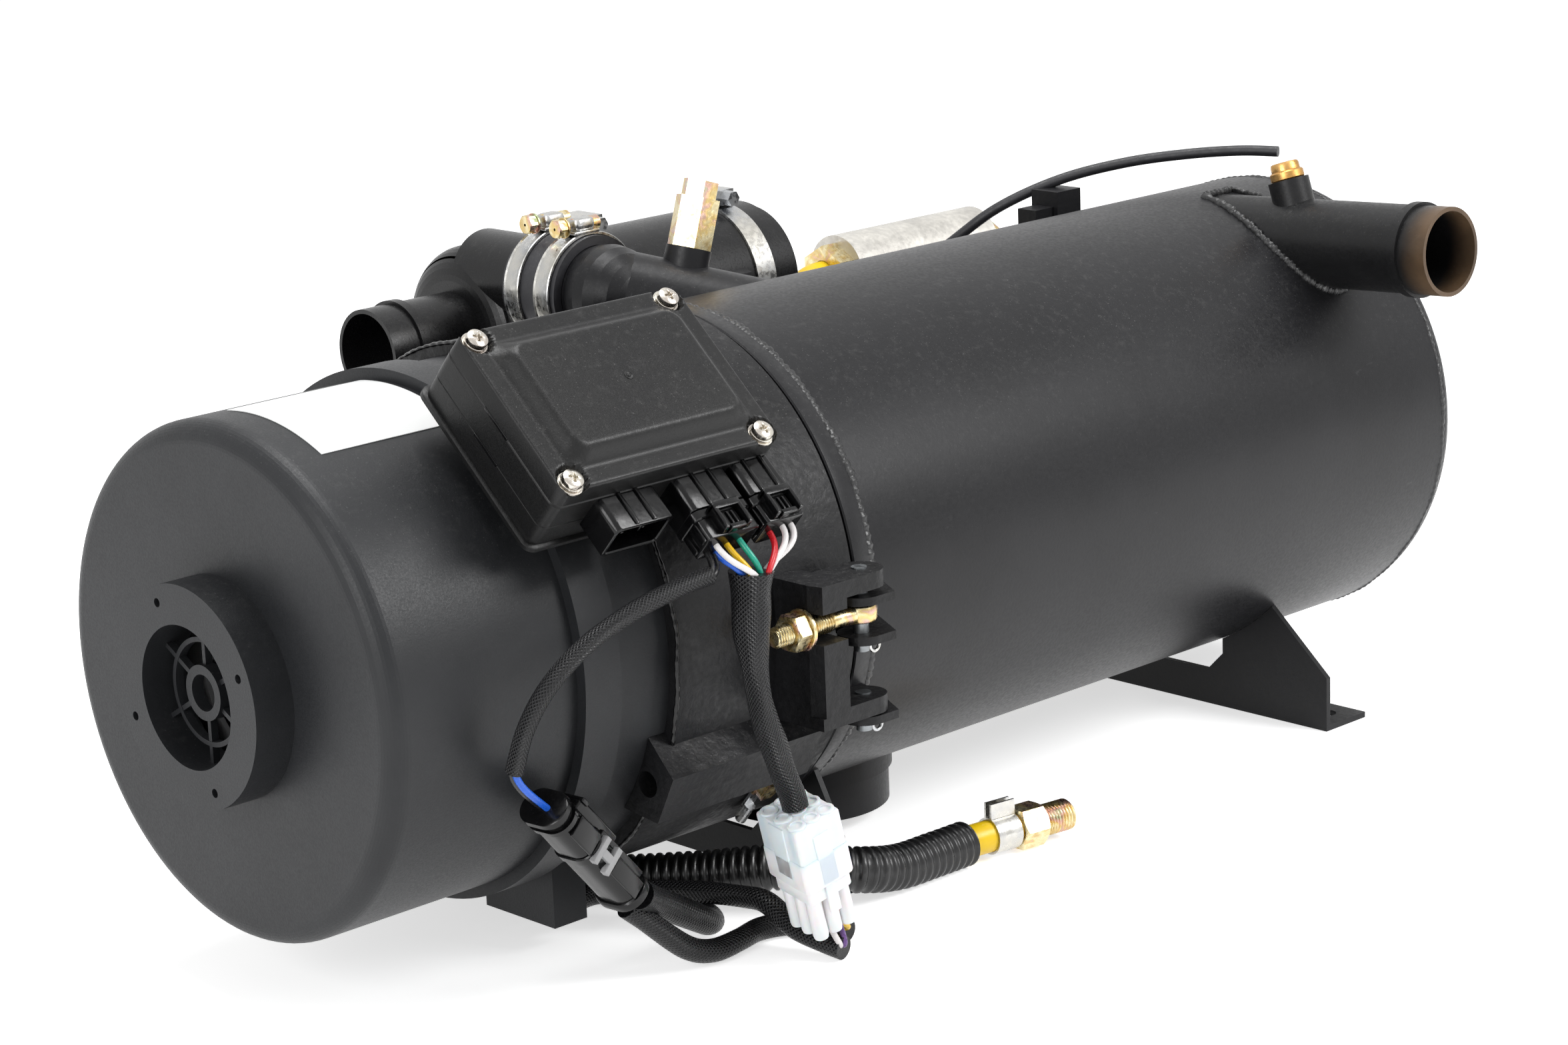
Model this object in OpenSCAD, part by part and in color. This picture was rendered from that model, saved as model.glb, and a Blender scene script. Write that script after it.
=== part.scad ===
// Coolant parking heater: a burner head hinged on a round water-jacket heat exchanger.
// The heater axis runs along X, from the burner head to the rear of the heat exchanger.
// Sizes along the axis are measured from the joint between head and heat exchanger,
// which lies in the plane x = 0 of the heater axis frame. Lengths are in millimetres.

/* [Heat exchanger] */
// Outer radius of the water jacket
hx_r = 100; // [90:1:110]
// Length of the jacket from the joint to the rear face
hx_len = 378; // [340:1:420]
// Wall of the jacket
hx_wall = 3; // [2:0.5:4]
// Rounding of the rear cap
rear_round = 8; // [5:1:12]
// Outer radius of the inner fire-side shell
fire_r = 82; // [78:1:84]
// Radial height of the fins inside the fire-side shell
fin_h = 11; // [8:1:14]
// Thickness of one fin
fin_t = 3; // [2:0.5:4]
// Number of fins
fin_n = 20; // [12:2:24]
// Outer radius of the combustion tube
tube_r = 55; // [50:1:60]
// Length of the combustion tube
tube_len = 270; // [220:1:300]
// Height of the heater axis above the floor
axis_h = 122; // [115:1:130]

/* [Feet] */
// Thickness of the foot sheet
foot_t = 2.5; // [2:0.5:4]
// Width of a foot's bottom flange
foot_flange = 27; // [24:1:32]
// Half width of the rear foot
rear_half = 101; // [96:1:110]
// Half width of the front foot
front_half = 85; // [78:1:88]
// Distance of the rear foot's plate from the jacket's rear face
rear_foot_back = 93; // [78:1:108]
// Place of the front foot's plate along the axis
front_foot_x = 4; // [3:1:6]
// Radius of the foot bolt holes
foot_hole_r = 4.5; // [3:0.5:5.5]
// Distance of a foot bolt hole from the foot's end
foot_hole_in = 12; // [10:1:16]
// Height of the straight part of a foot's side
foot_side_h = 24; // [20:1:28]
// Half width of the window in a foot
window_half = 43; // [34:1:46]
// Height of the window's sill above the floor
window_sill = 16; // [14:1:18]

/* [Water and exhaust pipes] */
// Outer radius of the water pipes
pipe_r = 19; // [17:0.5:21]
// Wall of the water pipes
pipe_wall = 1.8; // [1.5:0.1:2.5]
// Height of a hose bead above the pipe
bead_h = 1.4; // [1:0.1:1.8]
// Distance of the outlet pipe from the jacket's rear face
outlet_back = 53; // [43:1:60]
// Height of the outlet pipe above the axis, at its inner end
outlet_z = 80; // [76:1:81]
// Reach of the outlet pipe from the axis
outlet_reach = 136; // [128:1:144]
// Outer radius of the exhaust stub
exhaust_r = 35; // [32:0.5:36]
// Wall of the exhaust stub
exhaust_wall = 2; // [1.5:0.5:3]
// Place of the exhaust stub along the axis
exhaust_x = 67; // [67:1:80]
// Gap between the exhaust stub and the floor
exhaust_gap = 6; // [4:1:8]

/* [Burner head] */
// Outer radius of the end cap
cap_r = 96.5; // [92:0.5:97]
// Length of the end cap from its face to the blower housing
cap_len = 83; // [78:1:88]
// Rounding of the end cap's rim
cap_round = 8; // [5:1:12]
// Wall of the end cap
cap_wall = 2.5; // [2:0.5:3]
// Outer radius of the blower housing
blower_r = 98.5; // [97:0.5:100]
// Length of the blower housing
blower_len = 42; // [38:1:46]
// Radius of the raised band at the end cap
band_r = 101; // [100:0.5:102]
// Width of the raised band
band_w = 17; // [12:1:20]
// Outer radius of the burner housing
head_r = 103.5; // [101:0.5:104]
// Length of the burner housing
head_len = 90; // [86:1:94]
// Wall of the housings
head_wall = 5; // [4:0.5:6]
// Thickness of the joint gasket
gasket_t = 2; // [1:0.5:3]
// Width of the joint gasket's ring
gasket_w = 15; // [10:0.5:16]
// Outer radius of the intake ring
ring_r = 41.5; // [39:0.5:44]
// Radius of the intake opening
intake_r = 26.6; // [25:0.1:28]
// Height of the intake ring above the end cap
ring_h = 16.5; // [14:0.5:20]
// Pitch circle diameter of the intake ring's screw holes
ring_pcd = 70.6; // [68:0.2:74]
// Radius of the intake ring's screw holes
ring_hole_r = 1.7; // [1.5:0.1:2]

/* [Control unit] */
// Length of the control unit along the axis
ecu_l = 103.5; // [96:0.5:108]
// Width of the control unit
ecu_w = 73; // [68:1:78]
// Height of the control unit's tray
ecu_tray_h = 24; // [20:1:28]
// Height of the lid's flat border
ecu_lid_h = 9; // [8:0.5:12]
// Height of the lid's raised middle above its border
ecu_hump_h = 6; // [4:0.5:8]
// Tilt of the control unit towards the near side
ecu_tilt = 42.3; // [38:0.1:46]
// Place of the control unit's middle along the axis
ecu_x = -102.6; // [-106:0.1:-99]
// Spacing of the lid screws along the axis
lid_screw_l = 90; // [82:0.5:92]
// Spacing of the lid screws across
lid_screw_w = 64; // [58:0.5:65]

/* [Clamps and hinge] */
// Distance of the clamp axis from the heater axis
pin_y = 118; // [116:0.5:120]
// Distance of the clamp axis ahead of the joint
pin_back = 13.5; // [12:0.5:15]
// Radius of the hinge pins
pin_r = 3; // [2.5:0.1:3.5]
// Radius of a knuckle
knuckle_r = 9; // [8:0.5:9.5]
// Length of a clamp block along the axis
block_l = 14; // [12:0.5:15]
// Distance from the joint to a clamp block's front face
block_x = 43; // [41:0.5:45]
// Radius of the swing bolts
bolt_r = 4; // [3.5:0.1:4.2]
// Length of a swing bolt from its eye's centre
bolt_len = 45; // [43:0.5:48]
// Height of the swing bolts above the heater axis
bolt_z = 3; // [2:0.5:4]
// Thickness of a hinge ear
ear_t = 3.2; // [2.5:0.1:3.4]

/* [Water pump] */
// Distance of the pump axis from the heater axis, across
pump_y = 156; // [150:1:162]
// Height of the pump axis above the heater axis
pump_z = 67.5; // [65:0.5:70]
// Radius of the pump motor
motor_r = 33; // [30:0.5:35]
// Length of the pump motor
motor_l = 134; // [120:1:150]
// Radius of the pump's volute
volute_r = 37; // [35:0.5:40]
// Place of the volute's front along the axis
volute_x = 21; // [19:1:24]
// Length of the volute
volute_l = 40; // [39:1:44]
// Reach of the pump's inlet stub ahead of the volute
stub_l = 46; // [36:1:56]
// Wall of the coolant hose
hose_wall = 4.4; // [3.5:0.1:5]

/* [Fuel line] */
// Radius over the conduit's ribs
conduit_r = 9.1; // [8.6:0.1:9.6]
// Radius between the conduit's ribs
conduit_root_r = 8.1; // [7.8:0.1:8.3]
// Radius of the conduit's bore
conduit_bore_r = 7.2; // [7:0.1:7.4]
// Pitch of the conduit's ribs
rib_pitch = 3.9; // [3.6:0.1:4.6]
// Radius of the fuel tube
fuel_r = 6.5; // [6:0.1:6.8]
// Radius of the fuel fitting's thread
thread_r = 6.5; // [5.5:0.1:7]
// Radius of the silver fuel valve
valve_r = 17; // [15:0.5:18]
// Length of the fuel valve
valve_l = 92; // [84:1:100]

/* [Hidden] */

// One overrun serves every cut
over = 1;
// Running gap between a part that turns and its seat
run_gap = 0.05;
// Gap between parts that are only set beside each other
fit_gap = 0.2;
// Gap between parts of different bodies
body_gap = 0.4;

floor_z = -axis_h;
rear_foot_x = hx_len - rear_foot_back;
outlet_x = hx_len - outlet_back;
joint_x = -gasket_t;
head_x0 = joint_x - head_len;
blower_x0 = head_x0 - blower_len;
cap_x0 = blower_x0 - cap_len;
front_hole_x = front_foot_x + foot_t + (foot_flange - foot_t) / 2;
rear_hole_x = rear_foot_x + foot_t + (foot_flange - foot_t) / 2;

// The heater axis frame is set so that the front foot's bolt line is the origin
module on_axis() translate([-front_hole_x, 0, axis_h]) children();

module xcyl(x0, x1, r, fn = 96) translate([x0, 0, 0]) rotate([0, 90, 0])
  cylinder(h = x1 - x0, r = r, $fn = fn);
module xtube(x0, x1, ro, ri, fn = 96) difference() {
  xcyl(x0, x1, ro, fn);
  xcyl(x0 - over, x1 + over, ri, fn);
}
// Cylinder along Y from y0 to y1
module ycyl(y0, y1, r, fn = 64) translate([0, y1, 0]) rotate([90, 0, 0])
  cylinder(h = y1 - y0, r = r, $fn = fn);
module zcyl(z0, z1, r, fn = 48) translate([0, 0, z0]) cylinder(h = z1 - z0, r = r, $fn = fn);
// Box from one corner to the other
module span(a, b) translate(a) cube(b - a);
// Turned shape along X: points are [place along X, radius]
module turned(points, fn = 96) rotate([0, 90, 0]) rotate_extrude($fn = fn)
  polygon([for (p = points) [p[1], p[0]]]);
function arc(c, r, a0, a1, n) = [for (i = [0:n])
  let (a = a0 + (a1 - a0) * i / n) [c[0] + r * cos(a), c[1] + r * sin(a)]];

// Swept tubes: rings stand square to the route and turn along with it
function unit(v) = v / norm(v);
function tangents(p) = [for (i = [0:len(p) - 1])
  unit(p[min(i + 1, len(p) - 1)] - p[max(i - 1, 0)])];
function sides_of(t, u, i = 0) = i >= len(t) ? [] :
  let (w = unit(u - (u * t[i]) * t[i])) concat([w], sides_of(t, w, i + 1));
function start_side(t) = abs(t[2]) < 0.8 ? [0, 0, 1] : [1, 0, 0];
function ring_points(c, t, w, r, n) = [for (k = [0:n - 1])
  let (a = 360 * k / n) c + r * (cos(a) * w + sin(a) * cross(t, w))];
function wall_faces(m, n, base, flip) = [for (i = [0:m - 2]) for (k = [0:n - 1])
  let (a = base + i * n + k, b = base + i * n + (k + 1) % n, c = a + n, d = b + n)
  each (flip ? [[a, b, d], [a, d, c]] : [[a, d, b], [a, c, d]])];
module sweep(route, radii, n = 8) {
  t = tangents(route);
  w = sides_of(t, start_side(t[0]));
  m = len(route);
  last = (m - 1) * n;
  polyhedron(
    [for (i = [0:m - 1]) each ring_points(route[i], t[i], w[i], radii[i], n)],
    concat(wall_faces(m, n, 0, false),
      [for (k = [1:n - 2]) [0, k, k + 1]],
      [for (k = [1:n - 2]) [last, last + k + 1, last + k]]));
}
module cord(route, r, n = 8) sweep(route, [for (p = route) r], n);

// Smooth route through hand-set points
function curve_at(p, i, s) = let (
  a = p[max(i - 1, 0)], b = p[i], c = p[i + 1], d = p[min(i + 2, len(p) - 1)])
  0.5 * (2 * b + s * (c - a) + s * s * (2 * a - 5 * b + 4 * c - d)
    + s * s * s * (3 * b - a - 3 * c + d));
function smooth(p, k) = concat([for (i = [0:len(p) - 2]) for (s = [0:k - 1])
  curve_at(p, i, s / k)], [p[len(p) - 1]]);
function run_lengths(p, i = 1, sum = 0) = i >= len(p) ? [sum] :
  concat([sum], run_lengths(p, i + 1, sum + norm(p[i] - p[i - 1])));
function place_on(p, runs, s, i = 0) = i >= len(p) - 2 || runs[i + 1] > s ?
  p[i] + (p[i + 1] - p[i]) * min(1, (s - runs[i]) / (runs[i + 1] - runs[i])) :
  place_on(p, runs, s, i + 1);
function even(p, n) = let (runs = run_lengths(p), total = runs[len(p) - 1])
  [for (i = [0:n]) place_on(p, runs, total * i / n)];

// Heat exchanger
shoulder_share = 0.7;
inlet_turn = -45;
inlet_dip = 14;
inlet_run = 84;
port_reach = 50;
hose_grip = 12;
port_lift = 5;
clamp_band_t = 1.2;
hose_gap = 1;
port_x = volute_x + volute_l / 2;
port_rise = pipe_r + port_lift;
port_z = pump_z + port_rise;
hose_r = pipe_r + fit_gap / 2 + hose_wall;
clamp_band_r = hose_r + clamp_band_t;
// The hose ends where its own clamp still clears the jacket
hose_y0 = sqrt(pow(hx_r + clamp_band_r + body_gap, 2) - port_z * port_z);
hose_y1 = pump_y - volute_r - hose_gap;
bend_more = 1.4;
bend_back = 8;
inlet_bend_y = hose_y0 - bend_back;
inlet_bend = [port_x, inlet_bend_y, port_z];
outlet_lean = 3;
module outlet_at() translate([outlet_x, 0, outlet_z]) rotate([-outlet_lean, 0, 0]) children();
// The inlet pipe's two straight lengths meet in a slightly larger turned ball
module inlet_bore(r, y1) {
  translate([port_x, 0, port_z]) ycyl(inlet_bend_y, y1, r);
  translate(inlet_bend) rotate([0, 0, 90]) turned(arc([0, 0], r + bend_more, 180, 0, 12), 64);
  translate(inlet_bend) rotate([0, 0, inlet_turn]) rotate([0, 90 + inlet_dip, 0])
    cylinder(h = inlet_run, r = r, $fn = 64);
}

module hx_jacket() color("#2c2c2e") on_axis() difference() {
  xtube(0, hx_len - rear_round, hx_r, hx_r - hx_wall);
  outlet_at() ycyl(-hx_r - over, -over, pipe_r + fit_gap);
  translate([exhaust_x, 0, 0]) zcyl(-hx_r - over, 0, exhaust_r - liner_step + fit_gap, 64);
  inlet_bore(pipe_r + fit_gap, inlet_bend_y + over);
}

module hx_inner() color("#8b8f92") on_axis() difference() {
  union() {
    xtube(0, hx_len - rear_round - hx_wall, fire_r, fire_r - hx_wall);
    xtube(0, hx_wall, hx_r - hx_wall, fire_r - over);
    xcyl(hx_len - rear_round - 2 * hx_wall, hx_len - rear_round - hx_wall, fire_r - over);
    for (i = [0:fin_n - 1]) rotate([360 * (i + 0.5) / fin_n, 0, 0])
      span([exhaust_x + exhaust_r + fin_t, -fin_t / 2, fire_r - hx_wall - fin_h],
        [hx_len - rear_round - 2 * hx_wall - fin_t, fin_t / 2, fire_r - hx_wall + over]);
  }
  translate([exhaust_x, 0, 0]) zcyl(-hx_r, 0, exhaust_r - exhaust_wall, 64);
}

module hx_rear_cap() color("#2c2c2e") on_axis() difference() {
  turned(concat([[hx_len - rear_round, 0], [hx_len, 0]],
    arc([hx_len - rear_round, hx_r - rear_round], rear_round, 0, 90, 8)));
  xcyl(hx_len - hx_wall / 2, hx_len + over, hx_r - 2.5 * rear_round);
  xcyl(hx_len - rear_round - over, hx_len - 2 * hx_wall, fire_r);
}

module combustion_tube() color("#6f6a66") on_axis() {
  xtube(hx_wall, tube_len, tube_r, tube_r - hx_wall);
  xtube(hx_wall, 2 * hx_wall, fire_r - hx_wall - fit_gap, tube_r - over);
}

// The stub sits on the jacket, and a thinner liner goes on to the inner shell
liner_step = 0.8;
collar_step = 1.5;
module exhaust_stub() color("#333335") on_axis() translate([exhaust_x, 0, 0]) {
  difference() {
    union() {
      zcyl(floor_z + exhaust_gap, -hx_r * shoulder_share, exhaust_r, 64);
      zcyl(-hx_r - over, -hx_r * shoulder_share, exhaust_r + collar_step, 64);
    }
    zcyl(floor_z, 0, exhaust_r - exhaust_wall, 64);
    translate([-exhaust_x, 0, 0]) xcyl(0, hx_len, hx_r + fit_gap / 2);
  }
  difference() {
    zcyl(-hx_r - over, -hx_r * shoulder_share, exhaust_r - liner_step, 64);
    zcyl(floor_z, 0, exhaust_r - exhaust_wall, 64);
    translate([-exhaust_x, 0, 0]) xcyl(0, hx_len, fire_r + fit_gap);
  }
}

sensor_y = -58;
sensor_lean = 15;
sensor_boss_r = 9;
sensor_rise = 9;
sensor_boss_h = pipe_r + sensor_rise;
sensor_r = 7;
sensor_h = 8;
module at_sensor() outlet_at() translate([0, sensor_y, 0]) rotate([-sensor_lean, 0, 0])
  children();
module outlet_pipe() color("#2b2b2d") on_axis() difference() {
  union() {
    outlet_at() ycyl(-outlet_reach, -over, pipe_r);
    outlet_at() ycyl(-outlet_reach + 10 * bead_h, -outlet_reach + 13 * bead_h, pipe_r + bead_h);
    at_sensor() zcyl(0, sensor_boss_h, sensor_boss_r, 48);
  }
  outlet_at() ycyl(-outlet_reach - over, over, pipe_r - pipe_wall);
  at_sensor() zcyl(0, sensor_boss_h + over, sensor_r / 2 + fit_gap, 32);
  xcyl(0, hx_len, fire_r + hx_wall);
}

module temp_sensor() color("#b88a4a") on_axis() at_sensor() {
  translate([0, 0, sensor_boss_h]) cylinder(h = sensor_h * 0.6, r = sensor_r * 1.1, $fn = 6);
  zcyl(sensor_boss_h + sensor_h * 0.6, sensor_boss_h + sensor_h, sensor_r * 0.8, 32);
  zcyl(sensor_boss_h - 2 * sensor_h, sensor_boss_h, sensor_r / 2, 32);
}

bleed_share = 0.34;
bleed_lean = 18;
bleed_boss_r = 9.5;
bleed_rise = 6;
bleed_boss_h = pipe_r + bleed_rise;
bleed_r = 9.4;
bleed_h = 21;
bleed_screw_r = 5;
bleed_screw_h = 7;
module at_bleed() translate(inlet_bend) rotate([0, 0, inlet_turn])
  translate(inlet_run * bleed_share * [cos(inlet_dip), 0, -sin(inlet_dip)])
  rotate([0, 0, -inlet_turn]) rotate([0, bleed_lean, 0]) children();
module inlet_pipe() color("#2b2b2d") on_axis() difference() {
  union() {
    inlet_bore(pipe_r, hose_y0 + hose_grip);
    at_bleed() zcyl(0, bleed_boss_h, bleed_boss_r);
  }
  inlet_bore(pipe_r - pipe_wall, hose_y0 + hose_grip + over);
  at_bleed() zcyl(0, bleed_boss_h + over, bleed_screw_r + fit_gap, 32);
  xcyl(0, hx_len, hx_r - hx_wall);
}

module bleed_body() color("#c9b27a") on_axis() at_bleed() difference() {
  union() {
    translate([0, 0, bleed_boss_h]) cylinder(h = bleed_h, r = bleed_r, $fn = 6);
    zcyl(bleed_boss_h - bleed_screw_r, bleed_boss_h + over, bleed_screw_r, 32);
  }
  zcyl(bleed_boss_h - 2 * bleed_screw_r, bleed_boss_h + bleed_h + over, bleed_screw_r / 2, 32);
}

module bleed_screw() color("#d8d2bd") on_axis() at_bleed() {
  translate([0, 0, bleed_boss_h + bleed_h]) difference() {
    cylinder(h = bleed_screw_h, r = bleed_screw_r * 1.5, $fn = 6);
    zcyl(bleed_screw_h * 0.6, bleed_screw_h + over, bleed_screw_r * 0.7, 32);
  }
  zcyl(bleed_boss_h + bleed_h - 2 * bleed_screw_r, bleed_boss_h + bleed_h,
    bleed_screw_r / 2 - run_gap, 32);
}

// A foot is a bent sheet: an upright plate cut to the jacket and a flange on the floor
window_top = 0.8;
module foot(x, half, hole_r) on_axis() difference() {
  union() {
    translate([x, 0, 0]) rotate([90, 0, 90]) linear_extrude(foot_t) polygon([
      [-half, floor_z], [half, floor_z], [half, floor_z + foot_side_h],
      [hx_r * shoulder_share, -hx_r * shoulder_share],
      [-hx_r * shoulder_share, -hx_r * shoulder_share], [-half, floor_z + foot_side_h]]);
    span([x, -half, floor_z], [x + foot_flange, half, floor_z + foot_t]);
  }
  xcyl(x - over, x + foot_flange + over, hx_r + fit_gap / 2);
  translate([x - over, 0, 0]) rotate([90, 0, 90]) linear_extrude(foot_t + 2 * over) polygon([
    [-window_half * 0.8, floor_z + window_sill], [window_half * 0.8, floor_z + window_sill],
    [window_half, floor_z + window_sill + window_half * 0.2], [window_half, -hx_r * window_top],
    [-window_half, -hx_r * window_top], [-window_half, floor_z + window_sill + window_half * 0.2]]);
  for (s = [-1, 1]) translate([x + foot_t + (foot_flange - foot_t) / 2,
    s * (half - foot_hole_in), 0]) zcyl(floor_z - over, floor_z + foot_t + over, hole_r, 32);
}
module front_foot() color("#2c2c2e") foot(front_foot_x, front_half, foot_hole_r);
module rear_foot() color("#2c2c2e") foot(rear_foot_x, rear_half, foot_hole_r);

module gasket() color("#1e1e1f") on_axis() xtube(joint_x, 0, hx_r, hx_r - gasket_w);

// Clamp and hinge: z places of the plates, from the heater axis
eye_h = 7;
eye_r = 6.3;
knuckle_z = [[13.5, 20], [-34.7, -28.3]];
ear_z = [7.4, -7.8, -38.6];
slot_lo = bolt_z - bolt_r - fit_gap * 6;
slot_hi = bolt_z + bolt_r + fit_gap * 12;
block_hi = knuckle_z[0][1];
block_lo = knuckle_z[1][0];
pin_x = -pin_back;
ear_front_back = pin_back * 0.3;
ear_root = 10;
module ear(z, side) difference() {
  translate([0, 0, z]) linear_extrude(ear_t) union() {
    translate([pin_x, side * pin_y]) circle(r = knuckle_r, $fn = 48);
    polygon([[pin_x, side * (pin_y + knuckle_r)], [-ear_front_back, side * (pin_y + knuckle_r)],
      [ear_root, side * hx_r], [ear_root, side * fire_r], [body_gap, side * fire_r],
      [body_gap, side * (head_r + over)], [pin_x, side * (head_r + over)]]);
  }
  xcyl(-over, ear_root + over, hx_r + fit_gap / 2);
  translate([pin_x, side * pin_y, 0]) zcyl(z - over, z + ear_t + over, pin_r, 48);
}
module clamp_ears() color("#2a2a2c") on_axis() {
  for (z = ear_z) ear(z, -1);
  for (i = [0, 1]) ear(ear_z[i], 1);
}
pin_tail = 4;
pin_head = 0.5;
far_pin_head = 2;
upper_pin = [ear_z[1] - pin_tail, block_hi + pin_head];
lower_pin = [ear_z[2] - pin_tail, knuckle_z[1][1] + pin_head];
far_pin = [ear_z[1] - pin_tail, ear_z[0] + ear_t + far_pin_head];
module hinge_pins() color("#5c5a56") on_axis() {
  translate([pin_x, -pin_y, 0]) zcyl(upper_pin[0], upper_pin[1], pin_r);
  translate([pin_x, -pin_y, 0]) zcyl(lower_pin[0], lower_pin[1], pin_r);
  translate([pin_x, pin_y, 0]) zcyl(far_pin[0], far_pin[1], pin_r);
}
// Split pins: a ring beside each hinge pin, its leg lying under the ear
cotter_r = 0.7;
cotter_ring = 2.4;
cotter_drop = 3.4;
module cotter(z, side) translate([pin_x + pin_r + cotter_ring + 2 * cotter_r,
  side * pin_y, z]) {
  rotate([90, 0, 0]) rotate_extrude($fn = 32) translate([cotter_ring, 0]) circle(r = cotter_r, $fn = 16);
  xcyl(-cotter_ring - 2 * cotter_r + fit_gap, -cotter_ring, cotter_r / 2, 16);
}
module cotter_pins() color("#c8c8c8") on_axis() {
  cotter(ear_z[1] - cotter_drop, -1);
  cotter(ear_z[2] - cotter_drop, -1);
  cotter(ear_z[1] - cotter_drop, 1);
}

// Swing bolt, lying along -X from its eye at the origin
nut_x = block_x - pin_back;
washer_t = 1.6;
washer_r = 8;
nut_h = 6.5;
nut_r = 7.5;
neck_l = 17;
module swing_bolt() difference() {
  union() {
    zcyl(-eye_h / 2, eye_h / 2, eye_r);
    xcyl(-neck_l, -pin_r - over, bolt_r * 0.78, 32);
    xcyl(-bolt_len + bolt_r * 0.2, -neck_l, bolt_r, 48);
    xcyl(-bolt_len, -neck_l, bolt_r * 0.84, 48);
  }
  zcyl(-eye_h, eye_h, pin_r + run_gap);
}
module swing_nut() {
  translate([-nut_x - fit_gap, 0, 0]) xtube(-washer_t, 0, washer_r, bolt_r + run_gap, 48);
  translate([-nut_x - fit_gap - washer_t - nut_h, 0, 0]) difference() {
    rotate([0, 90, 0]) cylinder(h = nut_h, r = nut_r, $fn = 6);
    xcyl(-over, nut_h + over, bolt_r + run_gap, 48);
  }
}
far_parked = 75;
module at_near() translate([pin_x, -pin_y, bolt_z]) children();
module at_far() translate([pin_x, pin_y, bolt_z]) rotate([0, 0, -far_parked]) children();
module near_bolt() color("#c2a765") on_axis() at_near() swing_bolt();
module near_nut() color("#b59b57") on_axis() at_near() swing_nut();
module far_bolt() color("#c2a765") on_axis() at_far() swing_bolt();
module far_nut() color("#b59b57") on_axis() at_far() swing_nut();

// Water pump
module at_pump() translate([0, pump_y, pump_z]) children();
motor_x = volute_x + volute_l;
volute_wall = 3.5;
shaft_r = 4;
rotor_gap = 5;
rotor_r = volute_r - volute_wall - rotor_gap;
rotor_w = 14;
shaft_in = 20;
module pump_volute() color("#262628") on_axis() difference() {
  union() {
    at_pump() turned(concat([[volute_x, 0], [motor_x, 0], [motor_x, volute_r]],
      arc([volute_x + volute_l / 3, volute_r - volute_l / 3], volute_l / 3, 90, 180, 8)));
    translate([port_x, 0, port_z]) ycyl(pump_y - port_reach, pump_y, pipe_r);
  }
  at_pump() xcyl(volute_x + volute_wall, motor_x - volute_wall, volute_r - volute_wall);
  at_pump() xcyl(volute_x - over, volute_x + 2 * volute_wall, pipe_r - pipe_wall);
  at_pump() xcyl(volute_x, motor_x + over, shaft_r + run_gap);
  translate([port_x, 0, port_z]) ycyl(pump_y - port_reach - over, pump_y - 3 * volute_wall,
    pipe_r - volute_wall);
}
module pump_stub() color("#262628") on_axis() at_pump() difference() {
  union() {
    xcyl(volute_x - stub_l, volute_x, pipe_r);
    xcyl(volute_x - stub_l + 10 * bead_h, volute_x - stub_l + 13 * bead_h, pipe_r + bead_h);
  }
  xcyl(volute_x - stub_l - over, volute_x + over, pipe_r - pipe_wall);
}
module pump_impeller() color("#8f8f8f") on_axis() at_pump() {
  xcyl(volute_x + 2 * volute_wall, motor_x + shaft_in, shaft_r);
  xtube(port_x - rotor_w / 2, port_x - rotor_w / 2 + volute_wall, rotor_r, shaft_r - over / 2);
  for (i = [0:5]) rotate([60 * i, 0, 0]) span([port_x - rotor_w / 2, -volute_wall / 4, shaft_r / 2],
    [port_x + rotor_w / 2, volute_wall / 4, rotor_r]);
}
end_ring_w = 5;
module pump_motor() color("#1f1f21") on_axis() at_pump() difference() {
  union() {
    xcyl(motor_x, motor_x + motor_l - end_ring_w, motor_r);
    xcyl(motor_x, motor_x + motor_l, motor_r - end_ring_w / 2);
  }
  xcyl(motor_x - over, motor_x + shaft_in + over, shaft_r + run_gap, 48);
}
band_front = 34;
band_back = 22;
band_x = [motor_x + band_front, motor_x + motor_l - band_back];
pump_band_w = 11;
pump_band_t = 1.2;
band_lug_half = 8;
band_lug_h = 7;
band_screw_r = 3.5;
band_screw_l = 6;
pump_angle = atan2(pump_z, pump_y);
pump_dist = norm([pump_y, pump_z]);
// Turns the plane so that +Y points from the heater axis to the pump axis
module to_pump() rotate([pump_angle, 0, 0]) children();
module pump_bands() color("#b9b8b2") on_axis() at_pump() for (x = band_x) {
  xtube(x - pump_band_w / 2, x + pump_band_w / 2, motor_r + pump_band_t, motor_r + fit_gap / 2);
  translate([0, 0, motor_r + pump_band_t]) span([x - pump_band_w / 2, -band_lug_half, 0],
    [x + pump_band_w / 2, band_lug_half, band_lug_h]);
  translate([x, 0, motor_r + pump_band_t + band_screw_r])
    ycyl(-band_lug_half - band_screw_l, -band_lug_half, band_screw_r, 6);
}
web_t = 5;
saddle_t = 3;
valve_ahead = 228;
valve_drop = 9;
valve_x = volute_x + valve_ahead;
valve_z = pump_z - valve_drop;
valve_dist = norm([pump_y, valve_z]);
valve_angle = atan2(valve_z, pump_y);
saddle_half = 22;
module web(x0, x1, dist, r) {
  span([x0, hx_r - over, -web_t / 2], [x1, dist - r + over, web_t / 2]);
  intersection() {
    translate([0, dist, 0]) xtube(x0, x1, r + saddle_t, r);
    span([x0, dist - r - saddle_t, -saddle_half], [x1, dist - r * 0.6, saddle_half]);
  }
  intersection() {
    xtube(x0, x1, hx_r + saddle_t, hx_r);
    span([x0, hx_r * 0.8, -saddle_half], [x1, hx_r + saddle_t, saddle_half]);
  }
}
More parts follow.
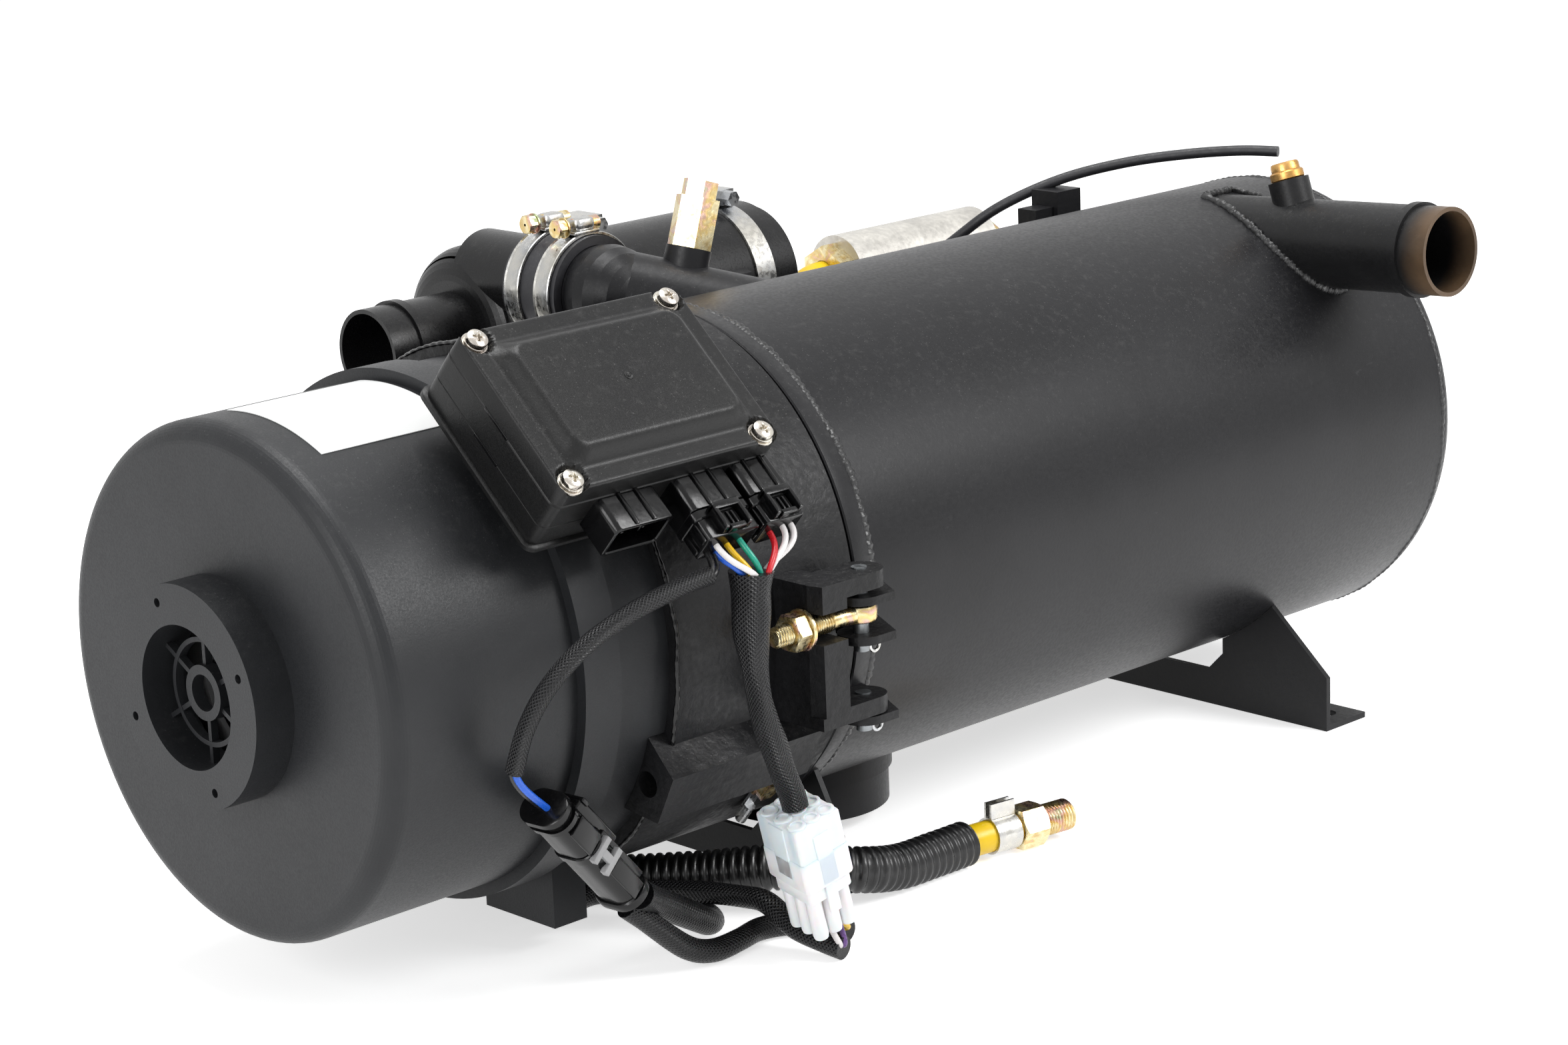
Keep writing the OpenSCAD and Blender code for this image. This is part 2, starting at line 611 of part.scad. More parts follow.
module pump_bracket() color("#2c2c2e") on_axis() difference() {
  union() {
    to_pump() web(band_x[0] + pump_band_w, band_x[1] - pump_band_w, pump_dist, motor_r + fit_gap);
    rotate([valve_angle, 0, 0]) web(valve_x + valve_l * 0.3, valve_x + valve_l * 0.7, valve_dist,
      valve_r + fit_gap);
  }
  xcyl(0, hx_len, hx_r + fit_gap / 2);
  at_pump() xcyl(0, hx_len, motor_r + fit_gap / 2);
}
module coolant_hose() color("#3a3a3d") on_axis() translate([port_x, 0, port_z]) difference() {
  ycyl(hose_y0, hose_y1, hose_r);
  ycyl(hose_y0 - over, hose_y1 + over, pipe_r + fit_gap / 2);
}
clamp_w = 10;
clamp_y = [hose_y0 + clamp_w * 0.7, hose_y1 - clamp_w * 0.7];
// Worm housing on a hose clamp: its sides and height, and the screw in it
worm_x = [-8, 6];
worm_h = 6.5;
worm_sink = 0.6;
worm_screw_r = 3.2;
worm_screw_z = 3.8;
worm_screw_x = [-15, 8];
worm_head_l = 5;
worm_head_r = 4.4;
module hose_clamps() color("#b3b0a8") on_axis() translate([port_x, 0, port_z])
  for (y = clamp_y) {
    difference() {
      ycyl(y - clamp_w / 2, y + clamp_w / 2, clamp_band_r);
      ycyl(y - clamp_w, y + clamp_w, hose_r + fit_gap / 2);
    }
    translate([0, y, clamp_band_r - worm_sink]) {
      span([worm_x[0], -clamp_w / 2, 0], [worm_x[1], clamp_w / 2, worm_h]);
      translate([0, 0, worm_screw_z]) xcyl(worm_screw_x[0], worm_screw_x[1], worm_screw_r, 24);
      translate([0, 0, worm_screw_z])
        xcyl(worm_screw_x[0], worm_screw_x[0] + worm_head_l, worm_head_r, 6);
    }
  }

// Fuel valve beside the pump, with a nut at each end and a side port for the vent tube
module at_valve() translate([valve_x, pump_y, valve_z]) children();
valve_nut_l = 9;
side_port_r = 5;
side_port_l = 4;
module fuel_valve() color("#b9b6b0") on_axis() at_valve() {
  xcyl(0, valve_l, valve_r);
  translate([valve_l * 0.2, 0, 0]) ycyl(-valve_r - side_port_l, 0, side_port_r, 32);
}
module valve_nuts() color("#c9ab57") on_axis() at_valve() {
  translate([-valve_nut_l, 0, 0]) rotate([0, 90, 0]) difference() {
    cylinder(h = valve_nut_l, r = valve_r * 0.8, $fn = 6);
    zcyl(-over, valve_nut_l + over, fuel_r + fit_gap / 2, 48);
  }
  translate([valve_l, 0, 0]) rotate([0, 90, 0]) cylinder(h = valve_nut_l * 0.7, r = valve_r * 0.8, $fn = 6);
}
// Vent tube: stiff, from the valve's side port over the jacket, held by the clip
vent_r = 2.4;
clip_x = 304;
clip_y = 66;
clip_w = 12;
clip_rise = 23.7;
clip_base = 16.9;
clip_seat = sqrt(hx_r * hx_r - clip_y * clip_y);
vent_z = clip_seat + clip_rise + vent_r + 4 * fit_gap;
vent_route = [[267.4, 136, 58.5], [267.4, 124, 60], [272, 106, 73], [284, 86, 90],
  [clip_x, clip_y, vent_z], [324, 44, vent_z + 7], [339, 20, vent_z + 11],
  [350, -2, vent_z + 13], [357, -18, vent_z + 13]];
module vent_tube() color("#2a2a2c") on_axis() cord(vent_route, vent_r, 8);
module tube_clip() color("#232325") on_axis() difference() {
  union() {
    span([clip_x - clip_w, clip_y - clip_w * 0.8, 0], [clip_x + clip_w * 0.3, clip_y + clip_w * 0.5,
      clip_seat + clip_rise]);
    span([clip_x - clip_w * 2, clip_y - clip_w * 0.6, 0], [clip_x - clip_w, clip_y + clip_w * 0.3,
      clip_seat + clip_base]);
  }
  xcyl(0, hx_len, hx_r + fit_gap / 2);
}

// Fuel line: a ribbed conduit over the tube, which shows at both of its ends
line_z = floor_z + conduit_r;
fuel_turn = 8;
fuel_out = 22;
fuel_bend = [64, -97, line_z];
tube_near = [fuel_bend + fuel_out * [cos(fuel_turn), -sin(fuel_turn), 0], fuel_bend,
  [48, -97, line_z]];
conduit_route = [[60, -97, line_z], [42, -97, -112.7], [22, -97, -112], [2, -95, -108],
  [-18, -78, -105], [-38, -48, -109.5], [-58, -18, -112.6], [-76, 6, -112.8], [-83, 40, line_z],
  [-68, 76, line_z], [-38, 108, line_z], [-20, 119, line_z], [-4, 127, line_z]];
tube_far = [[-16, 121, line_z], [-4, 127, line_z], [28, 140, line_z], [64, 149, line_z],
  [102, 155, line_z], [140, 158, line_z], [176, 158, -106], [202, 158, -86], [215, 158, -56],
  [215, 157, -22], [213, 156, 12], [217, 156, 42], [228, 156, 56], [242, 156, valve_z]];
module fuel_tube() color("#e6c511") on_axis() {
  cord(tube_near, fuel_r, 10);
  cord(tube_far, fuel_r, 10);
}
module conduit() color("#1b1b1c") on_axis() {
  fine = smooth(conduit_route, 8);
  total = run_lengths(fine)[len(fine) - 1];
  ribs = min(200, floor(total / rib_pitch));
  outer = even(fine, 2 * ribs);
  inner = even(fine, ribs);
  to = tangents(outer);
  ti = tangents(inner);
  wo = sides_of(to, start_side(to[0]));
  wi = sides_of(ti, start_side(ti[0]));
  mo = len(outer);
  mi = len(inner);
  n = 8;
  b = mo * n;
  polyhedron(
    concat([for (i = [0:mo - 1]) each ring_points(outer[i], to[i], wo[i],
        i % 2 == 0 ? conduit_root_r : conduit_r, n)],
      [for (i = [0:mi - 1]) each ring_points(inner[i], ti[i], wi[i], conduit_bore_r, n)]),
    concat(wall_faces(mo, n, 0, false), wall_faces(mi, n, b, true),
      [for (k = [0:n - 1]) each [[k, (k + 1) % n, b + (k + 1) % n], [k, b + (k + 1) % n, b + k]]],
      [for (k = [0:n - 1]) let (o = (mo - 1) * n, q = b + (mi - 1) * n)
        each [[o + k, q + (k + 1) % n, o + (k + 1) % n], [o + k, q + k, q + (k + 1) % n]]]));
}
module at_fuel_end() translate(tube_near[0]) rotate([0, 0, -fuel_turn]) children();
clamp_t = 1;
tube_clamp_w = 12;
clamp_tabs = [-2.2, 1.2];
clamp_tab_h = 7;
module tube_clamp() color("#b9b39c") on_axis() at_fuel_end() {
  xtube(-tube_clamp_w - over, -over, fuel_r + clamp_t, fuel_r + fit_gap / 2, 48);
  for (y = clamp_tabs) span([-tube_clamp_w - over, y, fuel_r + clamp_t - fit_gap],
    [-over, y + clamp_t, fuel_r + clamp_tab_h]);
}
fitting_hex_r = 9.3;
fitting_hex_l = 13;
thread_l = 15;
module fuel_fitting() color("#c7b489") on_axis() at_fuel_end() difference() {
  union() {
    rotate([0, 90, 0]) cylinder(h = fitting_hex_l, r = fitting_hex_r, $fn = 6);
    xcyl(fitting_hex_l, fitting_hex_l + thread_l, thread_r, 48);
  }
  xcyl(-over, fitting_hex_l + thread_l + over, thread_r / 2, 32);
}

// Burner head
module cap() color("#2f3033") on_axis() difference() {
  turned(concat([[cap_x0, 0], [blower_x0, 0], [blower_x0, cap_r]],
    arc([cap_x0 + cap_round, cap_r - cap_round], cap_round, 90, 180, 10)));
  xcyl(cap_x0 + cap_wall, blower_x0 + over, cap_r - cap_wall);
  xcyl(cap_x0 - over, blower_x0, intake_r);
}
grille_w = 3;
grille_depth = 9;
grille_hub_r = 10.3;
grille_hub_bore = 6.8;
grille_mid_r = 20.2;
rib_t = 1.8;
module intake_ring() color("#28292b") on_axis() translate([cap_x0 - ring_h, 0, 0]) {
  difference() {
    xtube(0, ring_h, ring_r, intake_r);
    for (i = [0:3]) rotate([90 * i - 22, 0, 0]) translate([0, 0, ring_pcd / 2])
      xcyl(-over, 10 * ring_hole_r, ring_hole_r, 24);
  }
  difference() {
    union() {
      for (i = [0:5]) rotate([60 * i, 0, 0]) span([grille_depth, -rib_t / 2, grille_hub_r - over],
        [grille_depth + grille_w, rib_t / 2, intake_r + over]);
      xtube(grille_depth - fit_gap, grille_depth + grille_w + fit_gap, grille_mid_r, grille_mid_r - rib_t);
      xcyl(grille_depth - grille_w / 2, grille_depth + grille_w + 2 * fit_gap, grille_hub_r, 48);
    }
    xcyl(-over, ring_h, grille_hub_bore, 48);
  }
}
plate_t = 4;
motor_hole_r = 6;
fan_port_r = 13;
module blower_housing() color("#303134") on_axis() difference() {
  union() {
    xtube(blower_x0, head_x0, blower_r, blower_r - head_wall);
    xtube(blower_x0, blower_x0 + band_w, band_r, blower_r - head_wall);
    xcyl(blower_x0, blower_x0 + plate_t, blower_r - over);
    gland();
  }
  xcyl(blower_x0 - over, head_x0, motor_hole_r, 48);
  for (i = [0:5]) rotate([60 * i + 30, 0, 0]) translate([0, 0, blower_r * 0.72])
    xcyl(blower_x0 - over, blower_x0 + plate_t + over, fan_port_r, 32);
}
// Cable gland block under the blower housing
gland_l = 16;
gland_y = [-46, -6];
gland_z = -112;
module gland() difference() {
  span([head_x0 - gland_l - 2 * body_gap, gland_y[0], gland_z], [head_x0 - 2 * body_gap, gland_y[1], 0]);
  xcyl(blower_x0 - over, head_x0 + over, blower_r - over);
}

// Angular lugs round the burner housing take the long housing screws
lug_w = 42;
lug_out = 11;
lug_ahead = 8;
lug_short = 22;
lug_x0 = head_x0 - lug_ahead;
lug_x1 = joint_x - lug_short;
lug_hole_r = 5;
lug_angles = [27, 153, 207];
module lug(angle) rotate([angle, 0, 0]) difference() {
  translate([0, -head_r - lug_out, 0]) rotate([0, 90, 0]) translate([0, 0, lug_x0])
    linear_extrude(lug_x1 - lug_x0) polygon([[-lug_w / 2, lug_out * 2.6], [-lug_w / 4, 0],
      [lug_w / 4, 0], [lug_w / 2, lug_out * 2.6]]);
  translate([0, -head_r - lug_out * 0.05, 0]) xcyl(lug_x0 - over, lug_x0 + 6 * lug_hole_r,
    lug_hole_r, 32);
}
module clamp_block(side) {
  span([-block_x, min(side * (head_r - head_wall), side * (pin_y + knuckle_r)), block_lo],
    [-block_x + block_l, max(side * (head_r - head_wall), side * (pin_y + knuckle_r)), block_hi]);
}
module clamp_slot(side) {
  slot_in = pin_y - bolt_r - 3 * fit_gap;
  span([-block_x - over, min(side * slot_in, side * (pin_y + knuckle_r + over)), slot_lo],
    [-block_x + block_l + over, max(side * slot_in, side * (pin_y + knuckle_r + over)), slot_hi]);
}
// A relief on each block's outer edge lets the washer pass as its bolt swings
relief_depth = 1.5;
relief_from = 2.5;
module clamp_relief(side) linear_extrude(3 * block_hi, center = true) polygon([
  [-block_x - over, side * (pin_y + relief_from)], [-block_x, side * (pin_y + relief_from)],
  [-block_x + relief_depth, side * (pin_y + knuckle_r)],
  [-block_x + relief_depth, side * (pin_y + knuckle_r + over)],
  [-block_x - over, side * (pin_y + knuckle_r + over)]]);
module knuckle(z) difference() {
  union() {
    translate([pin_x, -pin_y, 0]) zcyl(z[0], z[1], knuckle_r);
    span([-block_x + block_l - over, -pin_y - knuckle_r, z[0]], [pin_x, -pin_y + knuckle_r, z[1]]);
  }
  translate([pin_x, -pin_y, 0]) zcyl(z[0] - over, z[1] + over, pin_r + run_gap);
}
module burner_housing() color("#2e2f32") on_axis() union() {
  difference() {
    union() {
      xcyl(head_x0, joint_x, head_r);
      for (a = lug_angles) lug(a);
      clamp_block(-1);
      clamp_block(1);
    }
    xcyl(head_x0 - over, joint_x - 2 * plate_t, head_r - head_wall);
    xcyl(head_x0, joint_x + over, nozzle_r + fit_gap);
    xcyl(lug_x0 - over, head_x0, blower_r + fit_gap);
    clamp_slot(-1);
    clamp_slot(1);
    clamp_relief(-1);
    clamp_relief(1);
    translate([ground_x, 0, 0]) rotate([ground_angle, 0, 0])
      ycyl(-head_r - over, -head_r + head_wall / 2, ground_r);
  }
  for (z = knuckle_z) knuckle(z);
}
nozzle_r = 30;
nozzle_l = 40;
// Two rods of the igniter: where they begin and end from the joint, and their radius
rod_from = 30;
rod_to = 14;
rod_r = 2;
ground_x = -31;
ground_angle = 40;
ground_r = 2.5;
module burner_nozzle() color("#a19a8c") on_axis() {
  xcyl(joint_x - 2 * plate_t, joint_x, nozzle_r);
  xcyl(joint_x - nozzle_l, joint_x - 2 * plate_t, nozzle_r * 0.5);
  for (s = [-1, 1]) translate([0, s * nozzle_r * 0.7, 0])
    xcyl(joint_x - rod_from, joint_x + rod_to, rod_r, 24);
}
fan_r = 72;
fan_w = 22;
fan_in = 12;
fan_plate_t = 3;
fan_ring_t = 2;
fan_eye_gap = 6;
blade_gap = 8;
blade_t = 2;
fan_x = cap_x0 + cap_wall + fan_in;
fan_shaft_r = 5;
blower_motor_r = 34;
blower_motor_l = 62;
module blower_motor() color("#3c3c40") on_axis() difference() {
  xcyl(blower_x0 + plate_t, blower_x0 + plate_t + blower_motor_l, blower_motor_r);
  xcyl(blower_x0, blower_x0 + plate_t + blower_motor_l / 2 + over, fan_shaft_r + run_gap, 48);
}
module blower_impeller() color("#98989a") on_axis() {
  xcyl(fan_x, blower_x0 + plate_t + blower_motor_l / 2, fan_shaft_r, 48);
  xtube(fan_x + fan_w - fan_plate_t, fan_x + fan_w, fan_r, fan_shaft_r - over / 2);
  xtube(fan_x, fan_x + fan_ring_t, fan_r, intake_r + fan_eye_gap);
  for (i = [0:11]) rotate([30 * i, 0, 0]) span([fan_x, -blade_t / 2, intake_r + blade_gap],
    [fan_x + fan_w, blade_t / 2, fan_r - over]);
}

// Blank label, a thin sheet wrapped on the top of the end cap
label_t = 0.3;
label_l = 60;
label_in = 20;
label_x = cap_x0 + label_in;
label_deg = [82, 115];
module label_plate() color("#e9e9ea") on_axis() intersection() {
  xtube(label_x, label_x + label_l, cap_r + fit_gap / 2 + label_t, cap_r + fit_gap / 2);
  rotate([90, 0, 90]) translate([0, 0, label_x - over]) linear_extrude(label_l + 2 * over)
    polygon([[0, 0], for (a = [0:2]) let (t = label_deg[0] + (label_deg[1] - label_deg[0]) * a / 2)
      2 * cap_r * [cos(t), sin(t)]]);
}

// Control unit in its own frame: x along the heater, z outwards, connectors towards -y
ecu_lift = 1;
ecu_d = head_r + ecu_lift;
module at_ecu() translate([ecu_x, 0, 0]) rotate([ecu_tilt, 0, 0]) translate([0, 0, ecu_d]) children();
ecu_wall = 2.2;
ecu_round = 4;
module rounded_slab(l, w, h, r) linear_extrude(h) hull() for (x = [-1, 1]) for (y = [-1, 1])
  translate([x * (l / 2 - r), y * (w / 2 - r)]) circle(r = r, $fn = 32);
// Sockets: place along the tray and width, the first one empty
socks = [[-18.5, 27], [16, 25], [41, 19]];
sock_h = 16;
sock_l = 14;
sock_z = ecu_tray_h * 0.64;
sock_wall = 1.8;
module ecu_tray() color("#212123") on_axis() at_ecu() {
  difference() {
    rounded_slab(ecu_l, ecu_w, ecu_tray_h, ecu_round);
    translate([0, 0, ecu_wall]) rounded_slab(ecu_l - 2 * ecu_wall, ecu_w - 2 * ecu_wall,
      ecu_tray_h, ecu_round - ecu_wall / 2);
  }
  for (s = socks) difference() {
    span([s[0] - s[1] / 2, -ecu_w / 2 - sock_l, sock_z - sock_h / 2],
      [s[0] + s[1] / 2, -ecu_w / 2 + ecu_wall, sock_z + sock_h / 2]);
    span([s[0] - s[1] / 2 + sock_wall, -ecu_w / 2 - sock_l - over, sock_z - sock_h / 2 + sock_wall],
      [s[0] + s[1] / 2 - sock_wall, -ecu_w / 2, sock_z + sock_h / 2 - sock_wall]);
  }
}
hump_in = 14;
lid_screw_r = 2;
screw_seat = 3;
screw_seat_r = 6;
module ecu_lid() color("#232325") on_axis() at_ecu() translate([0, 0, ecu_tray_h]) difference() {
  union() {
    rounded_slab(ecu_l, ecu_w, ecu_lid_h, ecu_round);
    hull() {
      translate([0, 0, ecu_lid_h - over]) rounded_slab(ecu_l - hump_in, ecu_w - hump_in, over, ecu_round);
      translate([0, 0, ecu_lid_h]) rounded_slab(ecu_l - hump_in * 2, ecu_w - hump_in * 2,
        ecu_hump_h, ecu_round);
    }
  }
  translate([0, 0, -over]) rounded_slab(ecu_l - 4 * ecu_wall, ecu_w - 4 * ecu_wall,
    ecu_lid_h * 0.6, ecu_round / 2);
  for (x = [-1, 1]) for (y = [-1, 1]) translate([x * lid_screw_l / 2, y * lid_screw_w / 2, 0]) {
    zcyl(ecu_lid_h - screw_seat, ecu_lid_h + ecu_hump_h + over, screw_seat_r, 32);
    zcyl(-over, ecu_lid_h, lid_screw_r + fit_gap, 24);
  }
}
board_z = ecu_tray_h * 0.4;
board_t = 1.6;
post_in = 6;
post_r = 3;
module ecu_board() color("#2f6b3a") on_axis() at_ecu() {
  span([-ecu_l / 2 + 3 * ecu_wall, -ecu_w / 2 + 3 * ecu_wall, board_z],
    [ecu_l / 2 - 3 * ecu_wall, ecu_w / 2 - 3 * ecu_wall, board_z + board_t]);
  for (x = [-1, 1]) for (y = [-1, 1])
    translate([x * (lid_screw_l / 2 - post_in), y * (lid_screw_w / 2 - post_in), 0])
      zcyl(ecu_wall, board_z + over, post_r, 24);
}
lid_washer_r = 5;
lid_washer_t = 1;
lid_head_r = 4;
lid_head_h = 4.6;
module ecu_screws() color("#cfcbbd") on_axis() at_ecu() for (x = [-1, 1]) for (y = [-1, 1])
  translate([x * lid_screw_l / 2, y * lid_screw_w / 2, ecu_tray_h + ecu_lid_h - screw_seat]) {
    zcyl(0, lid_washer_t, lid_washer_r, 32);
    zcyl(lid_washer_t / 2, lid_head_h, lid_head_r, 32);
    zcyl(-ecu_lid_h + screw_seat, lid_washer_t, lid_screw_r, 24);
  }

// Plug in a socket: its nose fills the shroud and its body carries a latch
plug_l = 12;
plug_h = 15;
plug_more = 1;
latch_w = 13;
latch_h = 3.5;
module plug(s) translate([s[0], -ecu_w / 2 - sock_l - fit_gap, sock_z]) {
  span([-s[1] / 2 - plug_more, -plug_l, -plug_h / 2], [s[1] / 2 + plug_more, 0, plug_h / 2]);
  span([-s[1] / 2 + sock_wall + fit_gap, -over, -sock_h / 2 + sock_wall + fit_gap],
    [s[1] / 2 - sock_wall - fit_gap, sock_l - over, sock_h / 2 - sock_wall - fit_gap]);
  difference() {
    span([-latch_w / 2, -plug_l, plug_h / 2 - fit_gap], [latch_w / 2, 0, plug_h / 2 + latch_h]);
    span([-latch_w / 4, -plug_l * 0.8, plug_h / 2], [latch_w / 4, -plug_l * 0.3, plug_h]);
  }
}
module plug_mid() color("#1a1a1b") on_axis() at_ecu() plug(socks[1]);
module plug_right() color("#1a1a1b") on_axis() at_ecu() plug(socks[2]);

// Harness: routes are set by hand in the heater axis frame
sleeve_a_radii = [8.4, 7.6, 6.8, 5.6, 5, 5.2, 5.8, 5.6, 5];
sleeve_a_route = [[-79, -130, 35], [-80, -130, 18], [-79.5, -130, 3], [-78, -130, -9],
  [-75, -129, -20], [-70, -128, -31], [-66, -127.5, -42], [-62, -128, -52], [-60.5, -128.5, -58.5]];
module sleeve_a() color("#3c3b40") on_axis() sweep(sleeve_a_route, sleeve_a_radii, 12);
sleeve_b_r = 3.4;
sleeve_b_route = [[-100, -131, 38], [-118, -132, 37], [-137, -131, 33], [-154, -127, 25],
  [-167, -121, 12], [-173, -114, -4], [-174, -108, -20]];
module sleeve_b() color("#3c3b40") on_axis() cord(sleeve_b_route, sleeve_b_r, 8);

// Two-pin connector pair from the wires down to the floor sleeves
two_top = [-158, -103, -38];
two_end = [-119, -99, -82];
two_len = norm(two_end - two_top);
two_r = 9.5;
two_thin = 6.5;
two_lip = 1;
two_lip_l = 8;
two_fat = 0.6;
two_end_lip = 1.6;
two_end_l = 3;
two_split = 0.4;
latch_half = 5;
latch_from = 10;
latch_share = 0.62;
module along(a, b) {
  d = b - a;
  translate(a) rotate([0, acos(d[2] / norm(d)), atan2(d[1], d[0])]) children();
}
module pod(z0, z1, r, thin) for (s = [-1, 1]) {
  translate([0, s * (r - thin), 0]) zcyl(z0, z1, thin, 32);
  if (s > 0) span([-thin, -(r - thin), z0], [thin, r - thin, z1]);
}
module two_pin_plug() color("#1c1c1e") on_axis() along(two_top, two_end) {
  pod(0, two_lip_l, two_r + two_lip, two_thin + two_lip);
  pod(two_lip_l, two_len * two_split, two_r, two_thin);
  span([-two_thin - latch_half, -latch_half, latch_from],
    [-two_thin + over, latch_half, two_len * latch_share]);
}
module two_pin_socket() color("#1c1c1e") on_axis() along(two_top, two_end) {
  difference() {
    pod(two_len * two_split + fit_gap, two_len - two_end_l, two_r + two_fat, two_thin + two_fat);
    span([-two_thin - latch_half - over, -latch_half - fit_gap, 0],
      [-two_thin + over + fit_gap, latch_half + fit_gap, two_len * latch_share + fit_gap]);
  }
  pod(two_len - two_end_l, two_len, two_r + two_end_lip, two_thin + two_end_lip);
}

// Nine-pin connector pair hanging on the large sleeve
nine_top = [-60.5, -129, -59];
nine_end = [-46, -126, -108];
nine_len = norm(nine_end - nine_top);
nine_w = 26;
nine_d = 22;
nine_split = 0.56;
nine_neck = 0.66;
cavity_depth = 7;
cavity_r = 2.4;
tower_r = 3;
module nine_pin_plug() color("#efeef0") on_axis() along(nine_top, nine_end) rotate([0, 0, 20]) {
  difference() {
    span([-nine_d / 2, -nine_w / 2, 0], [nine_d / 2, nine_w / 2, nine_len * nine_split]);
    for (x = [-1:1]) for (y = [-1:1]) translate([x * nine_d * 0.3, y * nine_w * 0.32, 0])
      zcyl(-over, cavity_depth, cavity_r, 16);
  }
}
module nine_pin_socket() color("#f3f2f4") on_axis() along(nine_top, nine_end) rotate([0, 0, 20]) {
  span([-nine_d * 0.45, -nine_w * 0.42, nine_len * nine_split + fit_gap / 2],
    [nine_d * 0.45, nine_w * 0.42, nine_len * nine_neck]);
  for (x = [-1:1]) for (y = [-1:1]) translate([x * nine_d * 0.29, y * nine_w * 0.27, 0])
    zcyl(nine_len * nine_neck - over, nine_len, tower_r, 16);
}

// Floor sleeves: near sleeve along the floor, back loop, and the sleeve from the nine-pin pair
loop_c = [[-114, -94, -90], [-100, -96, -103], [-88, -97, -113], [-76, -98, -117.2],
  [-62, -97, -117.2], [-50, -95, -117.2], [-38, -99, -117.2], [-31, -108, -117.2],
  [-29, -121, -117.2]];
loop_d = [[-113, -100, -84], [-98, -93, -93], [-80, -88, -104], [-64, -82, -113],
  [-55, -70, -116.2], [-59, -52, -115], [-70, -34, -110], [-82, -24.5, -106.6], [-92.6, -24, -106.5]];
loop_e = [[-43, -133, -117.4], [-45, -122, -116], [-47, -111, -113], [-49, -99, -106],
  [-51, -88, -105.5], [-58, -70, -106], [-69, -52, -107], [-82, -39.5, -107], [-92.6, -39, -107]];
module floor_sleeves() color("#333236") on_axis() {
  cord(loop_c, 4.6, 8);
  cord(loop_d, 5.6, 8);
  cord(loop_e, 4.5, 8);
}

// Bare wires: from the two plugs into the sleeves, and at the two connector pairs
wire_r = 1.2;
bare_wires = [
  [[-91, -127, 47], [-88, -131, 43], [-83, -133, 38], [-81, -132, 32]],
  [[-83, -127, 47], [-81, -131, 42], [-79, -130, 36], [-79, -130, 30]],
  [[-64, -127, 47], [-67, -131, 42], [-74, -131, 36], [-76, -130, 30]],
  [[-96, -127, 46], [-97, -131, 41], [-99, -131, 38.2], [-104, -131.2, 37.7]],
  [[-173.5, -109, -17], [-173, -106, -26], [-166, -104, -33], [-158, -103, -37.5]],
  [[-45, -126, -107], [-42, -129, -113], [-42, -132, -117.4], [-44.5, -127, -116.2]],
  [[-43, -124, -107], [-37, -124, -112.5], [-30, -124, -116], [-31, -120, -117]]];
module wires() color("#c94b3a") on_axis() {
  for (w = bare_wires) cord(w, wire_r, 6);
}

// Earth connection on the burner housing
ground_out = 6;
ground_head_r = 5;
ground_washer_r = 6;
terminal_t = 1.1;
terminal_half = 3;
terminal_l = 20;
barrel_l = 9;
barrel_r = 2.2;
module at_ground() translate([ground_x, 0, 0]) rotate([ground_angle, 0, 0])
  translate([0, -head_r, 0]) children();
module ground_screw() color("#c6a95c") on_axis() at_ground() {
  ycyl(-ground_out, -2 * terminal_t + fit_gap, ground_head_r, 6);
  ycyl(-2 * terminal_t, -terminal_t - 3 * fit_gap, ground_washer_r, 32);
  ycyl(-ground_out, head_wall / 2, ground_r - fit_gap, 24);
}
module ring_terminal() color("#b7b6b2") on_axis() at_ground() difference() {
  union() {
    ycyl(-terminal_t - fit_gap, -fit_gap, ground_washer_r, 32);
    span([-terminal_half, -terminal_t - fit_gap, -terminal_l], [terminal_half, -fit_gap, 0]);
    translate([0, -terminal_t - 4 * fit_gap, -terminal_l - barrel_r]) zcyl(0, barrel_l, barrel_r, 24);
  }
  ycyl(-ground_out, over, ground_r, 24);
}

hx_jacket();
hx_inner();
hx_rear_cap();
combustion_tube();
exhaust_stub();
outlet_pipe();
temp_sensor();
inlet_pipe();
bleed_body();
bleed_screw();
front_foot();
rear_foot();
gasket();
clamp_ears();
hinge_pins();
cotter_pins();
pump_bracket();
pump_volute();
pump_stub();
pump_impeller();
pump_motor();
pump_bands();
coolant_hose();
hose_clamps();
fuel_valve();
valve_nuts();
tube_clip();
vent_tube();
conduit();
fuel_tube();
tube_clamp();
fuel_fitting();
cap();
intake_ring();
blower_housing();
burner_housing();
blower_motor();
blower_impeller();
burner_nozzle();
ecu_tray();
ecu_lid();
ecu_board();
ecu_screws();
plug_mid();
plug_right();
wires();
sleeve_a();
sleeve_b();
two_pin_plug();
two_pin_socket();
nine_pin_plug();
nine_pin_socket();
floor_sleeves();
ring_terminal();
ground_screw();
label_plate();
near_bolt();
near_nut();
far_bolt();
far_nut();
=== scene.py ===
"""Coolant parking heater in a plain pale studio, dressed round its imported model.

Sizes are millimetres in the heater's own axes (X along the burner axis from the joint, Z up,
Y to the pump side) and turned into the model's metres by row().
"""

import logging
import math
from dataclasses import dataclass, field
from enum import Enum
from typing import Callable, Iterable, Sequence

import bmesh
import bpy
import numpy as np
from mathutils import Matrix


